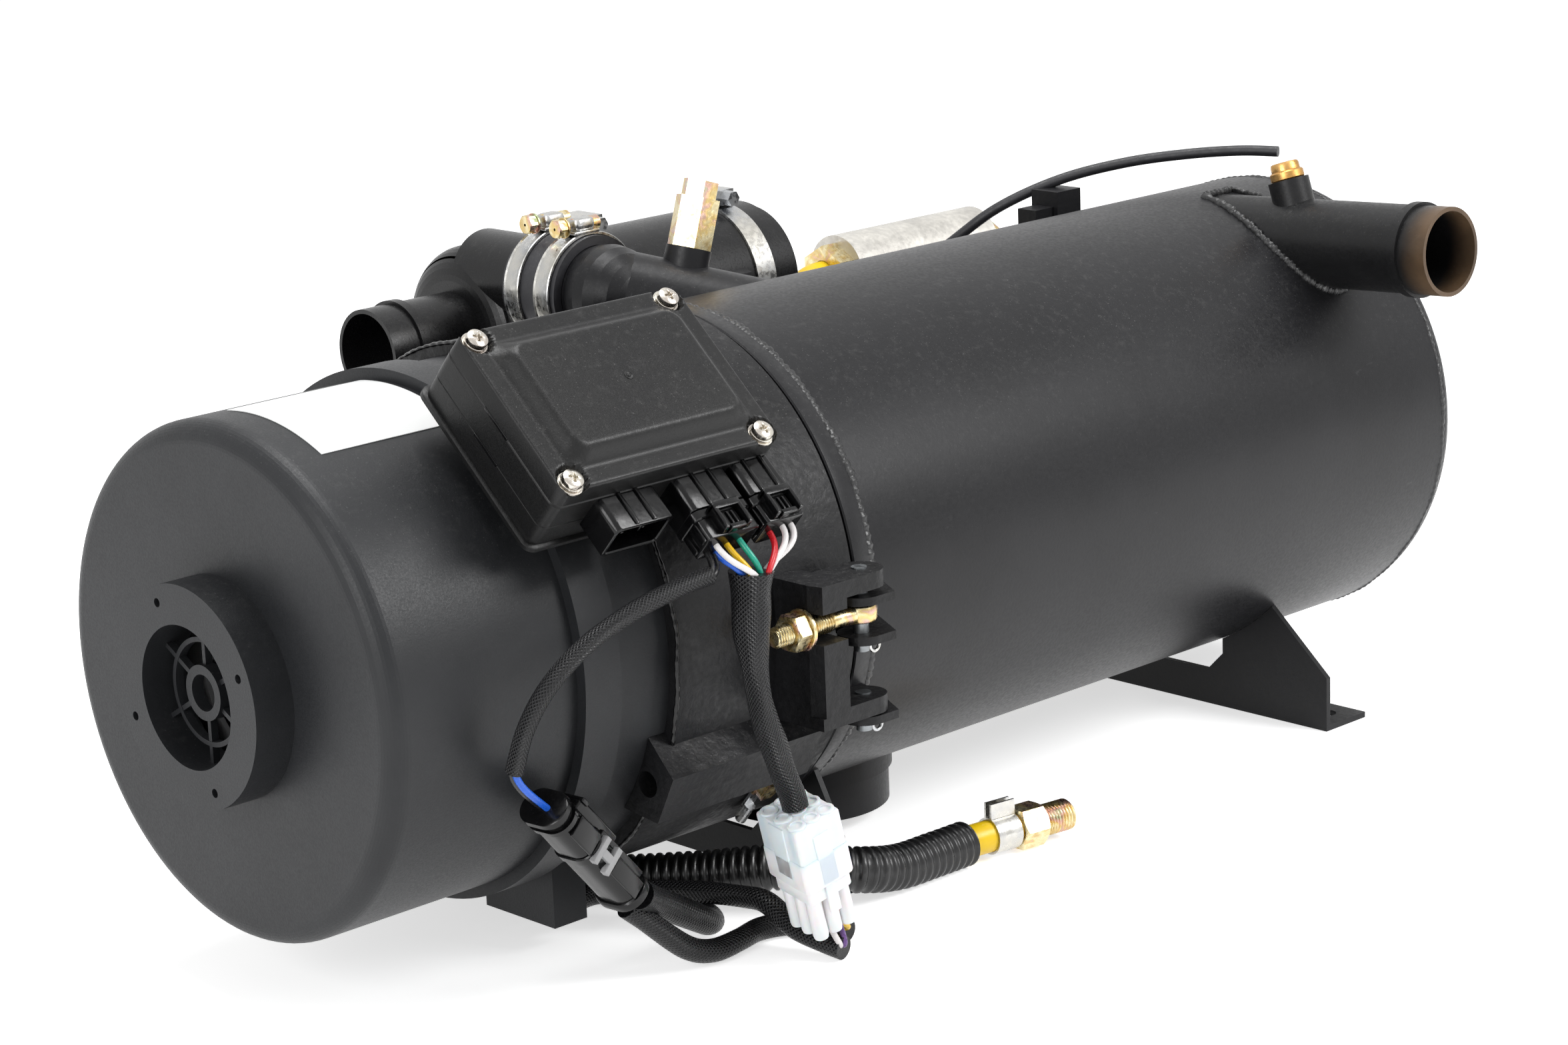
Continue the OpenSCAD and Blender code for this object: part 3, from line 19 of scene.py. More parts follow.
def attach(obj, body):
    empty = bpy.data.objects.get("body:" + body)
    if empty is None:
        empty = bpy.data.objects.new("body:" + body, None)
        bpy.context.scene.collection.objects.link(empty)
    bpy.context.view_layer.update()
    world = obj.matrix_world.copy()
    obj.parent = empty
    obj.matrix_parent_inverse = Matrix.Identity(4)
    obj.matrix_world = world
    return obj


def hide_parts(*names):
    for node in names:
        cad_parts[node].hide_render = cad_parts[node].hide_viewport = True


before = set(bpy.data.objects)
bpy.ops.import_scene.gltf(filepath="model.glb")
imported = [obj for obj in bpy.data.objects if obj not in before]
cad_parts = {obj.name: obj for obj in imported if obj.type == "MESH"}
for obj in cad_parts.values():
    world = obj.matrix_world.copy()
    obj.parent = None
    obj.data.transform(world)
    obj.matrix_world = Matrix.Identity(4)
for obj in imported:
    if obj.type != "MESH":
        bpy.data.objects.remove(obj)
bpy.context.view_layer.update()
LOG = logging.getLogger("heater")
Socket, Tree = bpy.types.NodeSocket, bpy.types.NodeTree
# The model's origin lies on the floor under the front foot; the burner axis runs over it.
FOOT_X = 18.75
AXIS_H = 122.0
MM = 0.001
# Steps in each span of a smooth line, in each turn of a thread and in each rib.
PER = 8
# The swing bolts' pins, mirrored in Y, and how far the far bolt is turned from the near one.
PIN_X, PIN_Y, PIN_Z = -13.5, 118.0, 3.0
FAR_TURN = 75.0
HEAD_BODY = "burner_head"
ROOT_BODY = "exchanger"


def row(points: Iterable) -> np.ndarray:
    """Heater millimetres to the model's metres: x less the foot's place, z plus the axis height.

    Args:
        points: any array of points, the last axis of length three.

    Returns:
        The same array in metres in the model's frame.
    """
    return (np.asarray(points, float) + (-FOOT_X, 0.0, AXIS_H)) * MM


def linear(code: str) -> tuple:
    """A hex colour as linear red, green, blue and alpha."""
    v = np.array([int(code[i : i + 2], 16) for i in (1, 3, 5)]) / 255.0
    v = np.where(v < 0.04045, v / 12.92, ((v + 0.055) / 1.055) ** 2.4)
    return (*map(float, v), 1.0)


# ---------------------------------------------------------------- shapes


def turns(n: int) -> np.ndarray:
    """Evenly spaced angles round a full turn."""
    return np.linspace(0, 2 * math.pi, n, endpoint=False)


def unit(v: np.ndarray) -> np.ndarray:
    """Each row of vectors over its own length."""
    return v / np.linalg.norm(v, axis=1, keepdims=True)


def spans(path: np.ndarray) -> np.ndarray:
    """The length of each step of a line."""
    return np.linalg.norm(np.diff(path, axis=0), axis=1)


def eased(t: np.ndarray) -> np.ndarray:
    """A share that starts and ends softly: three times its square less twice its cube."""
    return 3 * t**2 - 2 * t**3


@dataclass
class Skin:
    """A surface: its points, its faces and the pattern place of each face corner."""

    verts: np.ndarray
    faces: list
    uv: np.ndarray

    def moved(self, move: Callable) -> "Skin":
        """The same surface with its points carried by a function."""
        return Skin(move(self.verts), self.faces, self.uv)

    def placed(self, place: "Place") -> "Skin":
        """The same surface carried into a place."""
        return self.moved(place.out)


@dataclass(frozen=True)
class Place:
    """A local frame: an origin and three axes, in heater millimetres."""

    origin: tuple = (0.0, 0.0, 0.0)
    x: tuple = (1.0, 0.0, 0.0)
    y: tuple = (0.0, 1.0, 0.0)
    z: tuple = (0.0, 0.0, 1.0)

    def out(self, points: np.ndarray) -> np.ndarray:
        """Local points to heater points: the origin plus each coordinate times its axis."""
        return np.asarray(points, float) @ np.array([self.x, self.y, self.z]) + self.origin


def swung(origin: tuple, turn: float) -> Place:
    """A place whose x is turned from the heater's by so many degrees towards -y."""
    c, s = math.cos(math.radians(turn)), math.sin(math.radians(turn))
    return Place(origin, (c, -s, 0), (s, c, 0))


def along(start: Sequence, end: Sequence, turn: float = 0.0) -> Place:
    """The frame whose z runs from start to end, tipped about Y and then turned about Z.

    Args:
        start: where the origin goes.
        end: the point that z aims at.
        turn: a further turn about z, in degrees.

    Returns:
        The place.
    """
    d = np.subtract(end, start) / np.linalg.norm(np.subtract(end, start))
    tip, yaw = math.acos(d[2]), math.atan2(d[1], d[0])
    x = np.array([math.cos(yaw) * math.cos(tip), math.sin(yaw) * math.cos(tip), -math.sin(tip)])
    y = np.array([-math.sin(yaw), math.cos(yaw), 0.0])
    c, s = math.cos(math.radians(turn)), math.sin(math.radians(turn))
    return Place(tuple(start), tuple(c * x + s * y), tuple(c * y - s * x), tuple(d))


def skin(points: np.ndarray, closed: bool = True, caps: bool = True) -> Skin:
    """Quads over a grid of points, with fans over its two end rings.

    Args:
        points: rows by columns by three.
        closed: whether the last column joins the first.
        caps: whether the end rings are closed by a fan from their middle.

    Returns:
        The surface, with u round the ring from 0 to 1 and v the length along the rows in mm.
    """
    m, n = points.shape[:2]
    idx = np.arange(m * n).reshape(m, n)
    cur, nxt = (idx, np.roll(idx, -1, 1)) if closed else (idx[:, :-1], idx[:, 1:])
    quads = np.stack([cur[:-1], nxt[:-1], nxt[1:], cur[1:]], -1).reshape(-1, 4)
    run = np.concatenate([[0], np.cumsum(spans(points.mean(1)))])
    k = np.arange(cur.shape[1])
    lo, hi = np.broadcast_arrays(run[:-1, None], run[1:, None])
    u0, u1 = k / n, (k + 1) / n
    shape = (m - 1, len(k))
    uv = np.stack(
        [
            np.stack([np.broadcast_to(a, shape), np.broadcast_to(b, shape)], -1)
            for a, b in ((u0, lo), (u1, lo), (u1, hi), (u0, hi))
        ],
        2,
    ).reshape(-1, 2)
    verts, faces = points.reshape(-1, 3), quads.tolist()
    if caps:
        verts = np.concatenate([verts, points[[0, -1]].mean(1)])
        first = np.stack([np.roll(idx[0], -1), idx[0], np.full(n, m * n)], -1)
        last = np.stack([idx[-1], np.roll(idx[-1], -1), np.full(n, m * n + 1)], -1)
        faces += first.tolist() + last.tolist()
        uv = np.concatenate([uv, np.zeros((6 * n, 2))])
    return Skin(verts, faces, uv)


def joined(skins: Sequence[Skin]) -> Skin:
    """Several surfaces as one: points stacked, and each face's indices moved on."""
    starts = np.cumsum([0] + [len(s.verts) for s in skins])
    faces = [[i + int(at) for i in f] for s, at in zip(skins, starts) for f in s.faces]
    return Skin(np.concatenate([s.verts for s in skins]), faces, np.concatenate([s.uv for s in skins]))


def revolve(profile: Sequence, n: int = 40) -> np.ndarray:
    """A profile of (radius, height) carried round the z axis, as a grid of points."""
    p = np.asarray(profile, float)
    a = turns(n)
    r = np.maximum(p[:, :1], 1e-4)
    return np.stack([r * np.cos(a), r * np.sin(a), np.repeat(p[:, 1:], n, 1)], -1)


def same(points: np.ndarray) -> np.ndarray:
    """Leaves the points as they are."""
    return points


def lathe(profile: Sequence, n: int, caps: bool = True, turn: Callable = same) -> Skin:
    """The surface of a revolved profile.

    Args:
        profile: (radius, height) points.
        n: columns.
        caps: whether its two ends are closed by a fan.
        turn: what carries its points onto another axis.

    Returns:
        The surface.
    """
    return skin(turn(revolve(profile, n)), caps=caps)


def to_x(points: np.ndarray) -> np.ndarray:
    """Turns local z onto x, so a lathe shape lies along the heater."""
    return points[..., [2, 0, 1]]


def to_y(points: np.ndarray) -> np.ndarray:
    """Turns local z onto y."""
    return points[..., [1, 2, 0]]


def rounded(rows: Sequence, corner: int = 6, side: int = 4) -> np.ndarray:
    """Rounded rectangles stacked along z: four quarter circles with straight runs between them.

    Args:
        rows: (z, half length, half width, corner radius) of each ring.
        corner: steps in each quarter circle.
        side: steps along each straight run.

    Returns:
        The grid of points.
    """
    z, hl, hw, r = np.asarray(rows, float).T
    r = np.minimum(r, np.minimum(hl, hw) - 1e-3)
    arcs = []
    for k, (sx, sy) in enumerate(((1, 1), (-1, 1), (-1, -1), (1, -1))):
        t = np.radians(np.linspace(90 * k, 90 * k + 90, corner + 1))
        arcs.append(
            np.stack(
                [
                    (sx * (hl - r))[:, None] + r[:, None] * np.cos(t),
                    (sy * (hw - r))[:, None] + r[:, None] * np.sin(t)
                ],
                -1,
            )
        )
    s = (np.arange(1, side) / side)[None, :, None]
    runs = [arcs[k][:, -1:] * (1 - s) + arcs[(k + 1) % 4][:, :1] * s for k in range(4)]
    xy = np.concatenate([p for k in range(4) for p in (arcs[k], runs[k])], 1)
    return np.concatenate([xy, np.broadcast_to(z[:, None, None], xy.shape[:2] + (1,))], -1)


def stepped(length: float, width: float, rows: Sequence) -> list:
    """Rows of (z, inset, corner radius) as rings: the half length and half width less the inset."""
    return [(z, length - inset, width - inset, r) for z, inset, r in rows]


def pad(lo: Sequence, hi: Sequence, r: float = 1.0, soft: float = 0.5) -> Skin:
    """A block with rounded upright edges and softened top and bottom rims.

    Args:
        lo: lowest corner.
        hi: highest corner.
        r: radius of the upright edges.
        soft: radius of the rims, a quarter circle in three steps.

    Returns:
        The block's surface.
    """
    lo, hi = np.array(lo, float), np.array(hi, float)
    half, mid = (hi - lo) / 2, (hi + lo) / 2
    soft = min(soft, half.min() * 0.8)
    inset = np.array([1, 0.3, 0, 0, 0.3, 1]) * soft
    z = np.array([
        -half[2], -half[2] + 0.3 * soft, -half[2] + soft, half[2] - soft, half[2] - 0.3 * soft, half[2]
    ])
    rows = np.stack([z, half[0] - inset, half[1] - inset, np.maximum(r - inset, 0.05)], -1)
    return skin(rounded(rows, 4, 2) + mid)


def spline(points: Sequence, per: int = PER) -> np.ndarray:
    """A smooth line through points: each span is the cubic whose end slopes are half the chord
    between its neighbours.

    Args:
        points: the points to pass through.
        per: steps in each span.

    Returns:
        The finer line.
    """
    p = np.asarray(points, float)
    a = np.concatenate([p[:1], p[:-2]]) if len(p) > 2 else p[:1]
    b, c = p[:-1], p[1:]
    d = np.concatenate([p[2:], p[-1:]])
    s = (np.arange(per) / per)[None, :, None]
    a, b, c, d = (v[:, None, :] for v in (a, b, c, d))
    q = 0.5 * (2 * b + s * (c - a) + s**2 * (2 * a - 5 * b + 4 * c - d) + s**3 * (3 * b - a - 3 * c + d))
    return np.concatenate([q.reshape(-1, 3), p[-1:]])


def evenly(path: np.ndarray, step: float) -> np.ndarray:
    """The line again with its points a step apart, by length along it."""
    run = np.concatenate([[0], np.cumsum(spans(path))])
    at = np.linspace(0, run[-1], max(3, int(round(run[-1] / step)) + 1))
    return np.stack([np.interp(at, run, path[:, k]) for k in range(3)], -1)


def spokes(u: np.ndarray, v: np.ndarray, n: int, wide: float = 1.0) -> np.ndarray:
    """Directions round each point of a line: u times the cosine plus v times the widened sine."""
    a = turns(n)[None, :, None]
    return np.cos(a) * u[:, None] + wide * np.sin(a) * v[:, None]


def tube(path: np.ndarray, radii: np.ndarray | float, n: int = 16) -> np.ndarray:
    """Rings square to a line, carried along it without twist.

    Args:
        path: the ring centres.
        radii: one radius, one a ring, or one a ring and a column.
        n: sides.

    Returns:
        The grid of points.
    """
    t = unit(np.gradient(path, axis=0))
    w = np.array([0.0, 0.0, 1.0] if abs(t[0, 2]) < 0.8 else [1.0, 0.0, 0.0])
    sides = []
    for tangent in t:
        w = w - tangent * (w @ tangent)
        w /= np.linalg.norm(w)
        sides.append(w)
    u = np.array(sides)
    r = np.asarray(radii, float)
    r = r.reshape(-1, 1) if r.ndim < 2 else r
    return path[:, None] + spokes(u, np.cross(t, u), n) * np.broadcast_to(r, (len(path), n))[..., None]


def hex_nut(bore: float, corner: float, height: float, n: int = 72) -> Skin:
    """A hexagon nut with chamfered corners, along z.

    The radius at angle a is the flat's distance over the cosine of the angle to the nearest flat,
    and the rims drop by a share of how far that passes the inscribed circle.

    Args:
        bore: radius of the hole.
        corner: radius over the corners.
        height: along z.
        n: columns.

    Returns:
        The nut's surface, closed through its bore.
    """
    a = turns(n)
    flat = corner * math.cos(math.pi / 6)
    r = flat / np.cos((a % (math.pi / 3)) - math.pi / 6)
    drop = (r - flat) * 0.6
    ones = np.ones(n)
    rows = [
        (bore * ones, 0 * ones),
        (bore * 1.12 * ones, 0 * ones),
        (flat * 0.96 * ones, 0 * ones),
        (r, drop + 0.25),
        (r, height - drop - 0.25),
        (flat * 0.96 * ones, height * ones),
        (bore * 1.12 * ones, height * ones),
        (bore * ones, (height - 0.3) * ones),
        (bore * ones, 0.01 * ones),
    ]
    grid = np.stack([np.stack([q * np.cos(a), q * np.sin(a), z], -1) for q, z in rows])
    return skin(grid, caps=False)


def thread(r: float, start: float, end: float, pitch: float, n: int = 32) -> np.ndarray:
    """A screw thread along z: the radius falls by a triangle wave of height less turn share.

    Args:
        r: outer radius.
        start: lowest height.
        end: highest height.
        pitch: height of a turn.
        n: columns.

    Returns:
        The grid, drawn in at its far end.
    """
    z = np.linspace(start, end, int((end - start) / pitch * PER) + 1)
    a = turns(n)
    wave = np.abs(((z[:, None] / pitch - a[None] / (2 * math.pi)) % 1) - 0.5) * 2
    rad = r - 0.6 * pitch * np.clip(wave * 1.3 - 0.15, 0, 1)
    ease = np.clip((end - z) / 0.8, 0, 1)[:, None]
    rad = np.minimum(rad, r * (0.8 + 0.2 * ease))
    return np.stack([rad * np.cos(a), rad * np.sin(a), np.broadcast_to(z[:, None], rad.shape)], -1)


def bead(path: np.ndarray, r: float, seed: int) -> Skin:
    """A weld bead: a closed tube whose radius ripples in three sine waves of different length.

    Args:
        path: the closed line it follows, first point not repeated.
        r: mean radius.
        seed: sets the waves' phases.

    Returns:
        The bead's surface.
    """
    m = len(path)
    k = np.arange(m) / m * 2 * math.pi
    ph = np.random.default_rng(seed).uniform(0, 6.28, 3)
    waves = 0.16 * np.sin(m / 5 * k + ph[0]) + 0.1 * np.sin(17 * k + ph[1]) + 0.1 * np.sin(41 * k + ph[2])
    t = unit(np.roll(path, -1, 0) - np.roll(path, 1, 0))
    w = path - path.mean(0)
    w = unit(w - t * (w * t).sum(1, keepdims=True))
    grid = path[:, None] + spokes(w, np.cross(t, w), 10, 1.35) * (r * (1 + waves))[:, None, None]
    return skin(np.concatenate([grid, grid[:1]]), caps=False)


# ---------------------------------------------------------------- finishes


class Pattern(Enum):
    """What the surface is made like."""

    GRAIN = "moulded or sprayed grain"
    CAST = "rough casting"
    BRAID = "woven sleeve"
    PLATED = "passivated plating"


def standing(name: str, data: bpy.types.ID, axes: Sequence | None = None) -> bpy.types.Object:
    """A new object in the scene.

    Args:
        name: the object's name.
        data: its mesh, lamp or camera.
        axes: its x, y and z axes and its place, or None for the origin.

    Returns:
        The object.
    """
    made = bpy.data.objects.new(name, data)
    if axes is not None:
        made.matrix_world = Matrix([*np.transpose(axes).tolist(), [0, 0, 0, 1]])
    bpy.context.scene.collection.objects.link(made)
    return made


class Graph:
    """Short calls that fill one node tree."""

    def __init__(self, tree: Tree) -> None:
        """Takes the tree to fill."""
        self.tree = tree

    def add(self, kind: str, ins: dict | None = None, **settings: object) -> bpy.types.Node:
        """A node with its settings, and its inputs set to a value or joined to a socket.

        Args:
            kind: the node's type name after ShaderNode.
            ins: input name or index to a value or an output socket.
            settings: node properties.

        Returns:
            The node.
        """
        node = self.tree.nodes.new("ShaderNode" + kind)
        for key, value in settings.items():
            setattr(node, key, value)
        for key, value in (ins or {}).items():
            if isinstance(value, Socket):
                self.join(value, node, key)
            else:
                node.inputs[key].default_value = value
        return node

    def join(self, value: Socket, node: bpy.types.Node, key: object = 0) -> None:
        """Joins an output socket to one of a node's inputs."""
        self.tree.links.new(value, node.inputs[key])

    def here(self) -> Socket:
        """The place on the piece, in its own coordinates."""
        return self.add("TexCoord").outputs["Object"]

    def noise(self, at: Socket, scale: object, detail: float, **more: float) -> Socket:
        """Noise from 0 to 1 at a place."""
        return self.add("TexNoise", {"Vector": at, "Scale": scale, "Detail": detail, **more}).outputs[0]

    def seen(self) -> Socket:
        """1 for a ray from the camera, a reflection or clear material, else 0."""
        path = self.add("LightPath").outputs
        bent = self.math("MAXIMUM", path["Is Glossy Ray"], path["Is Transmission Ray"])
        return self.math("MAXIMUM", path["Is Camera Ray"], bent)

    def math(self, op: str, a: object, b: object = 0.5) -> Socket:
        """One sum, product or function of two numbers."""
        return self.add("Math", {0: a, 1: b}, operation=op).outputs[0]

    def times(self, a: object, b: object) -> Socket:
        """One number times another."""
        return self.math("MULTIPLY", a, b)

    def span(self, value: object, lo: object, hi: object, a: object = 0.0, b: object = 1.0) -> Socket:
        """A value carried from one range to another, and kept inside it."""
        ins = {0: value, 1: lo, 2: hi, 3: a, 4: b}
        return self.add("MapRange", ins, interpolation_type="SMOOTHSTEP").outputs[0]

    def mix(self, share: object, a: object, b: object) -> Socket:
        """Two colours mixed."""
        return self.add("Mix", {0: share, 6: a, 7: b}, data_type="RGBA").outputs[2]


def emptied(owner: bpy.types.ID) -> Graph:
    """The owner's node tree, switched on and emptied."""
    owner.use_nodes = True
    owner.node_tree.nodes.clear()
    return Graph(owner.node_tree)


def group(title: str, inputs: dict, outputs: dict) -> tuple:
    """An empty shader group with named sockets.

    Args:
        title: the group's name.
        inputs: name to default number.
        outputs: name to socket type.

    Returns:
        The tree, its graph, its input node's sockets and its output node.
    """
    tree = bpy.data.node_groups.new(title, "ShaderNodeTree")
    for name, value in inputs.items():
        s = tree.interface.new_socket(name=name, in_out="INPUT", socket_type="NodeSocketFloat")
        s.default_value = value
    for name, kind in outputs.items():
        tree.interface.new_socket(name=name, in_out="OUTPUT", socket_type=kind)
    g = Graph(tree)
    return tree, g, tree.nodes.new("NodeGroupInput").outputs, tree.nodes.new("NodeGroupOutput")


FLOAT = "NodeSocketFloat"
WHITE = (1, 1, 1, 1)


class Effects:
    """The shader groups that the finishes share, each built once."""

    def __init__(self) -> None:
        """Builds the groups."""
        self.grain = self._grain()
        self.mottle = self._mottle()
        self.scuff = self._scuff()
        self.dust = self._dust()
        self.braid = self._braid()
        self.plating = self._plating()

    def _grain(self) -> Tree:
        """Fine height: noise, with a share of pitted cells for castings."""
        tree, g, i, out = group(
            "fine_grain", {"Scale": 900.0, "Pits": 0.0}, {"Height": FLOAT, "Mask": FLOAT}
        )
        at = g.here()
        fine = g.noise(at, i["Scale"], 3.0, Roughness=0.6)
        cells = g.add("TexVoronoi", {"Vector": at, "Scale": g.times(i["Scale"], 0.4)}).outputs[0]
        height = g.math("ADD", fine, g.times(cells, i["Pits"]))
        g.join(height, out)
        g.join(fine, out, 1)
        return tree

    def _mottle(self) -> Tree:
        """A slow change over the surface: one large noise, cut to a soft mask."""
        tree, g, i, out = group("slow_mottle", {"Scale": 30.0}, {"Mask": FLOAT})
        a = g.noise(g.here(), i["Scale"], 5.0, Roughness=0.65)
        g.join(g.span(a, 0.32, 0.68), out)
        return tree

    def _scuff(self) -> Tree:
        """Thin handling marks: noise stretched along one direction and cut high."""
        tree, g, i, out = group("handling_scuffs", {"Scale": 60.0, "Amount": 0.3}, {"Mask": FLOAT})
        turned = g.add(
            "Mapping", {0: g.here(), "Rotation": (0.5, 0.9, 0.3), "Scale": (1.0, 9.0, 1.6)}
        ).outputs[0]
        a = g.noise(turned, i["Scale"], 6.0, Roughness=0.7)
        g.join(g.times(g.span(a, 0.66, 0.78), i["Amount"]), out)
        return tree

    def _dust(self) -> Tree:
        """Specks and film that lie on faces turned up."""
        tree, g, i, out = group("settled_dust", {"Amount": 0.2}, {"Mask": FLOAT})
        at = g.here()
        up = g.add("SeparateXYZ", {0: g.add("NewGeometry").outputs["Normal"]}).outputs[2]
        film = g.noise(at, 260.0, 6.0, Roughness=0.75)
        specks = g.span(g.noise(at, 1400.0, 1.0), 0.7, 0.76)
        both = g.math("ADD", g.span(film, 0.5, 0.8, 0.0, 0.5), specks)
        mask = g.times(g.times(both, g.span(up, 0.0, 1.0)), i["Amount"])
        g.join(mask, out)
        return tree

    def _braid(self) -> Tree:
        """Two sets of diagonal strands, the higher of two sine waves in u plus or minus v; the Mask output
        is painted shade, which the sleeve finishes use as colour to darken the grooves between strands.
        """
        tree, g, i, out = group("braid", {"Around": 16.0, "Along": 0.4}, {"Height": FLOAT, "Mask": FLOAT})
        uv = g.add("SeparateXYZ", {0: g.add("UVMap").outputs[0]}).outputs
        a = g.times(uv[0], i["Around"])
        b = g.times(uv[1], i["Along"])
        waves = [
            g.math("SINE", g.times(g.math(op, a, b), 2 * math.pi)) for op in ("ADD", "SUBTRACT")
        ]
        top = g.times(g.math("ADD", g.math("MAXIMUM", *waves), 1.0), 0.5)
        g.join(top, out)
        g.join(g.span(top, 0.35, 0.95), out, 1)
        return tree

    def _plating(self) -> Tree:
        """Passivation colours that drift from straw to pink and green."""
        tree, g, i, out = group("passivation", {"Scale": 90.0}, {"Color": "NodeSocketColor"})
        a = g.noise(g.here(), i["Scale"], 3.0, Distortion=0.6)
        ramp = g.add("ValToRGB", {0: a})
        stops = [(0.3, "#c2ab78"), (0.43, "#ded2ac"), (0.52, "#cfb578"), (0.6, "#cda79c"), (0.7, "#b4bd98")]
        marks = ramp.color_ramp.elements
        for mark, (share, code) in zip(marks, (stops[0], stops[-1])):
            mark.position, mark.color = share, linear(code)
        for share, code in stops[1:-1]:
            marks.new(share).color = linear(code)
        g.join(ramp.outputs[0], out)
        return tree


PIT_SHARE = 0.8
METAL_MOTTLE, PLAIN_MOTTLE = 45.0, 18.0
PLATING_SCALE = 90.0
SCUFF_SCALE = 40.0
STRANDS_A_MM = 0.6
GRAIN_UNDER_BRAID = 0.15
SOAK_DEPTH = 0.004
DUST_COLOR, SCUFF_COLOR, METAL_SCUFF = "#a9a8a6", "#8a8a8c", "#f2efe6"


@dataclass(frozen=True)
class Finish:
    """One finish: a colour, what it drifts to, and how it takes the light."""

    title: str
    slot: str
    color: str
    tint: str
    rough: float
    vary: float = 0.1
    metallic: float = 0.0
    pattern: Pattern = Pattern.GRAIN
    scale: float = 900.0
    bump: float = 0.3
    depth: float = 0.0002
    specular: float = 0.5
    scuff: float = 0.0
    dust: float = 0.0
    subsurface: float = 0.0
    around: float = 16.0
    rim: tuple = ()

    def make(self, fx: Effects) -> bpy.types.Material:
        """Builds the material.

        Args:
            fx: the shared shader groups.

        Returns:
            The material.
        """
        made = bpy.data.materials.new(self.title)
        g = emptied(made)

        def use(tree: Tree, **ins: float) -> bpy.types.NodeOutputs:
            """One of the shared groups with its values set."""
            node = g.tree.nodes.new("ShaderNodeGroup")
            node.node_tree = tree
            for key, value in ins.items():
                node.inputs[key].default_value = value
            return node.outputs

        fixed = {"Metallic": self.metallic, "Specular IOR Level": self.specular}
        fixed |= {"Subsurface Weight": self.subsurface, "Subsurface Scale": SOAK_DEPTH}
        shader = g.add("BsdfPrincipled", fixed)
        pits = PIT_SHARE if self.pattern is Pattern.CAST else 0.0
        grain = use(fx.grain, Scale=self.scale, Pits=pits)
        slow = use(fx.mottle, Scale=METAL_MOTTLE if self.metallic else PLAIN_MOTTLE)
        color = g.mix(slow["Mask"], linear(self.color), linear(self.tint))
        rough = g.span(grain["Mask"], 0.3, 0.7, self.rough - self.vary / 2, self.rough + self.vary / 2)
        height = grain["Height"]
        if self.pattern is Pattern.PLATED:
            color = use(fx.plating, Scale=PLATING_SCALE)["Color"]
        if self.pattern is Pattern.BRAID:
            braid = use(fx.braid, Around=self.around, Along=STRANDS_A_MM)
            # Painted shade: the grooves of the weave take the near-black tint and the strand crests the
            # lighter colour.
            color = g.mix(braid["Mask"], linear(self.tint), linear(self.color))
            height = g.math("ADD", g.times(height, GRAIN_UNDER_BRAID), braid["Height"])
        if self.rim:
            axis, lo, hi, code = self.rim
            at = g.add("SeparateXYZ", {0: g.here()}).outputs[axis]
            share = g.times(g.span(at, lo, hi), g.span(slow["Mask"], 0.0, 1.0, 0.55, 1.0))
            color = g.mix(share, color, linear(code))
        if self.scuff:
            marks = use(fx.scuff, Scale=SCUFF_SCALE, Amount=self.scuff)["Mask"]
            light = SCUFF_COLOR if self.metallic < 0.5 else METAL_SCUFF
            color = g.mix(marks, color, linear(light))
        if self.dust:
            color = g.mix(use(fx.dust, Amount=self.dust)["Mask"], color, linear(DUST_COLOR))
        bumped = g.add("Bump", {"Strength": self.bump, "Distance": self.depth, "Height": height}).outputs[0]
        g.join(color, shader, "Base Color")
        g.join(rough, shader, "Roughness")
        g.join(bumped, shader, "Normal")
        g.add("OutputMaterial", {0: shader.outputs[0]})
        return made


PAINT = Finish(
    "satin_black_paint", "black_paint", "#141416", "#1a1a1c", 0.38, 0.1, specular=0.24, scale=700.0,
    bump=0.25, scuff=0.12, dust=0.15
)
PIPE = Finish(
    "painted_pipe", "black_paint", "#121213", "#19191a", 0.38, 0.12, specular=0.26, scale=700.0, bump=0.25,
    dust=0.12, rim=(1, -0.122, -0.134, "#5c4936")
)
CAST = Finish(
    "rough_black_casting", "black_paint", "#0e0e0f", "#171719", 0.44, specular=0.24, vary=0.16,
    pattern=Pattern.CAST, scale=420.0, bump=0.55, depth=0.0004, scuff=0.15, dust=0.25
)
WELD = Finish(
    "painted_weld", "black_paint", "#131314", "#1d1d1e", 0.4, 0.2, pattern=Pattern.CAST, scale=300.0,
    bump=0.8, depth=0.0006
)
STEEL = Finish("bare_steel", "inner_steel", "#8b8f92", "#77797a", 0.4, 0.2, 1.0, scale=300.0)
HEATED = Finish(
    "heat_tinted_steel", "burner_steel", "#6f6a66", "#5b4b40", 0.45, 0.2, 1.0, scale=300.0, scuff=0.2
)
YELLOW_ZINC = Finish(
    "yellow_zinc", "zinc_yellow", "#c9a65a", "#c58f86", 0.3, 0.2, 1.0, Pattern.PLATED, 500.0, 0.2,
    scuff=0.15
)
CLEAR_ZINC = Finish(
    "clear_zinc", "zinc_clear", "#c9c6be", "#aeb0b3", 0.3, 0.22, 1.0, scale=420.0, bump=0.2, scuff=0.2
)
SCREW_ZINC = Finish(
    "bright_screw_zinc", "zinc_clear", "#d8d4c9", "#b6ada6", 0.24, 0.2, 1.0, scale=420.0, bump=0.2
)
BRASS = Finish("sensor_brass", "brass", "#b98a45", "#c9a066", 0.35, 0.2, 1.0, scale=420.0)
SILVER = Finish(
    "bare_aluminium_case", "silver_case", "#d2cfc8", "#b9b6b0", 0.42, 0.2, 0.8, scale=380.0, scuff=0.2
)
HEAD = Finish(
    "grained_head_plastic", "head_plastic", "#1d1e20", "#242527", 0.44, 0.12, specular=0.28, scale=1300.0,
    bump=0.3, scuff=0.05, dust=0.12
)
ECU = Finish(
    "control_case_plastic", "head_plastic", "#0e0e0f", "#151515", 0.36, 0.14, specular=0.3, scale=1500.0,
    bump=0.3, scuff=0.06, dust=0.16
)
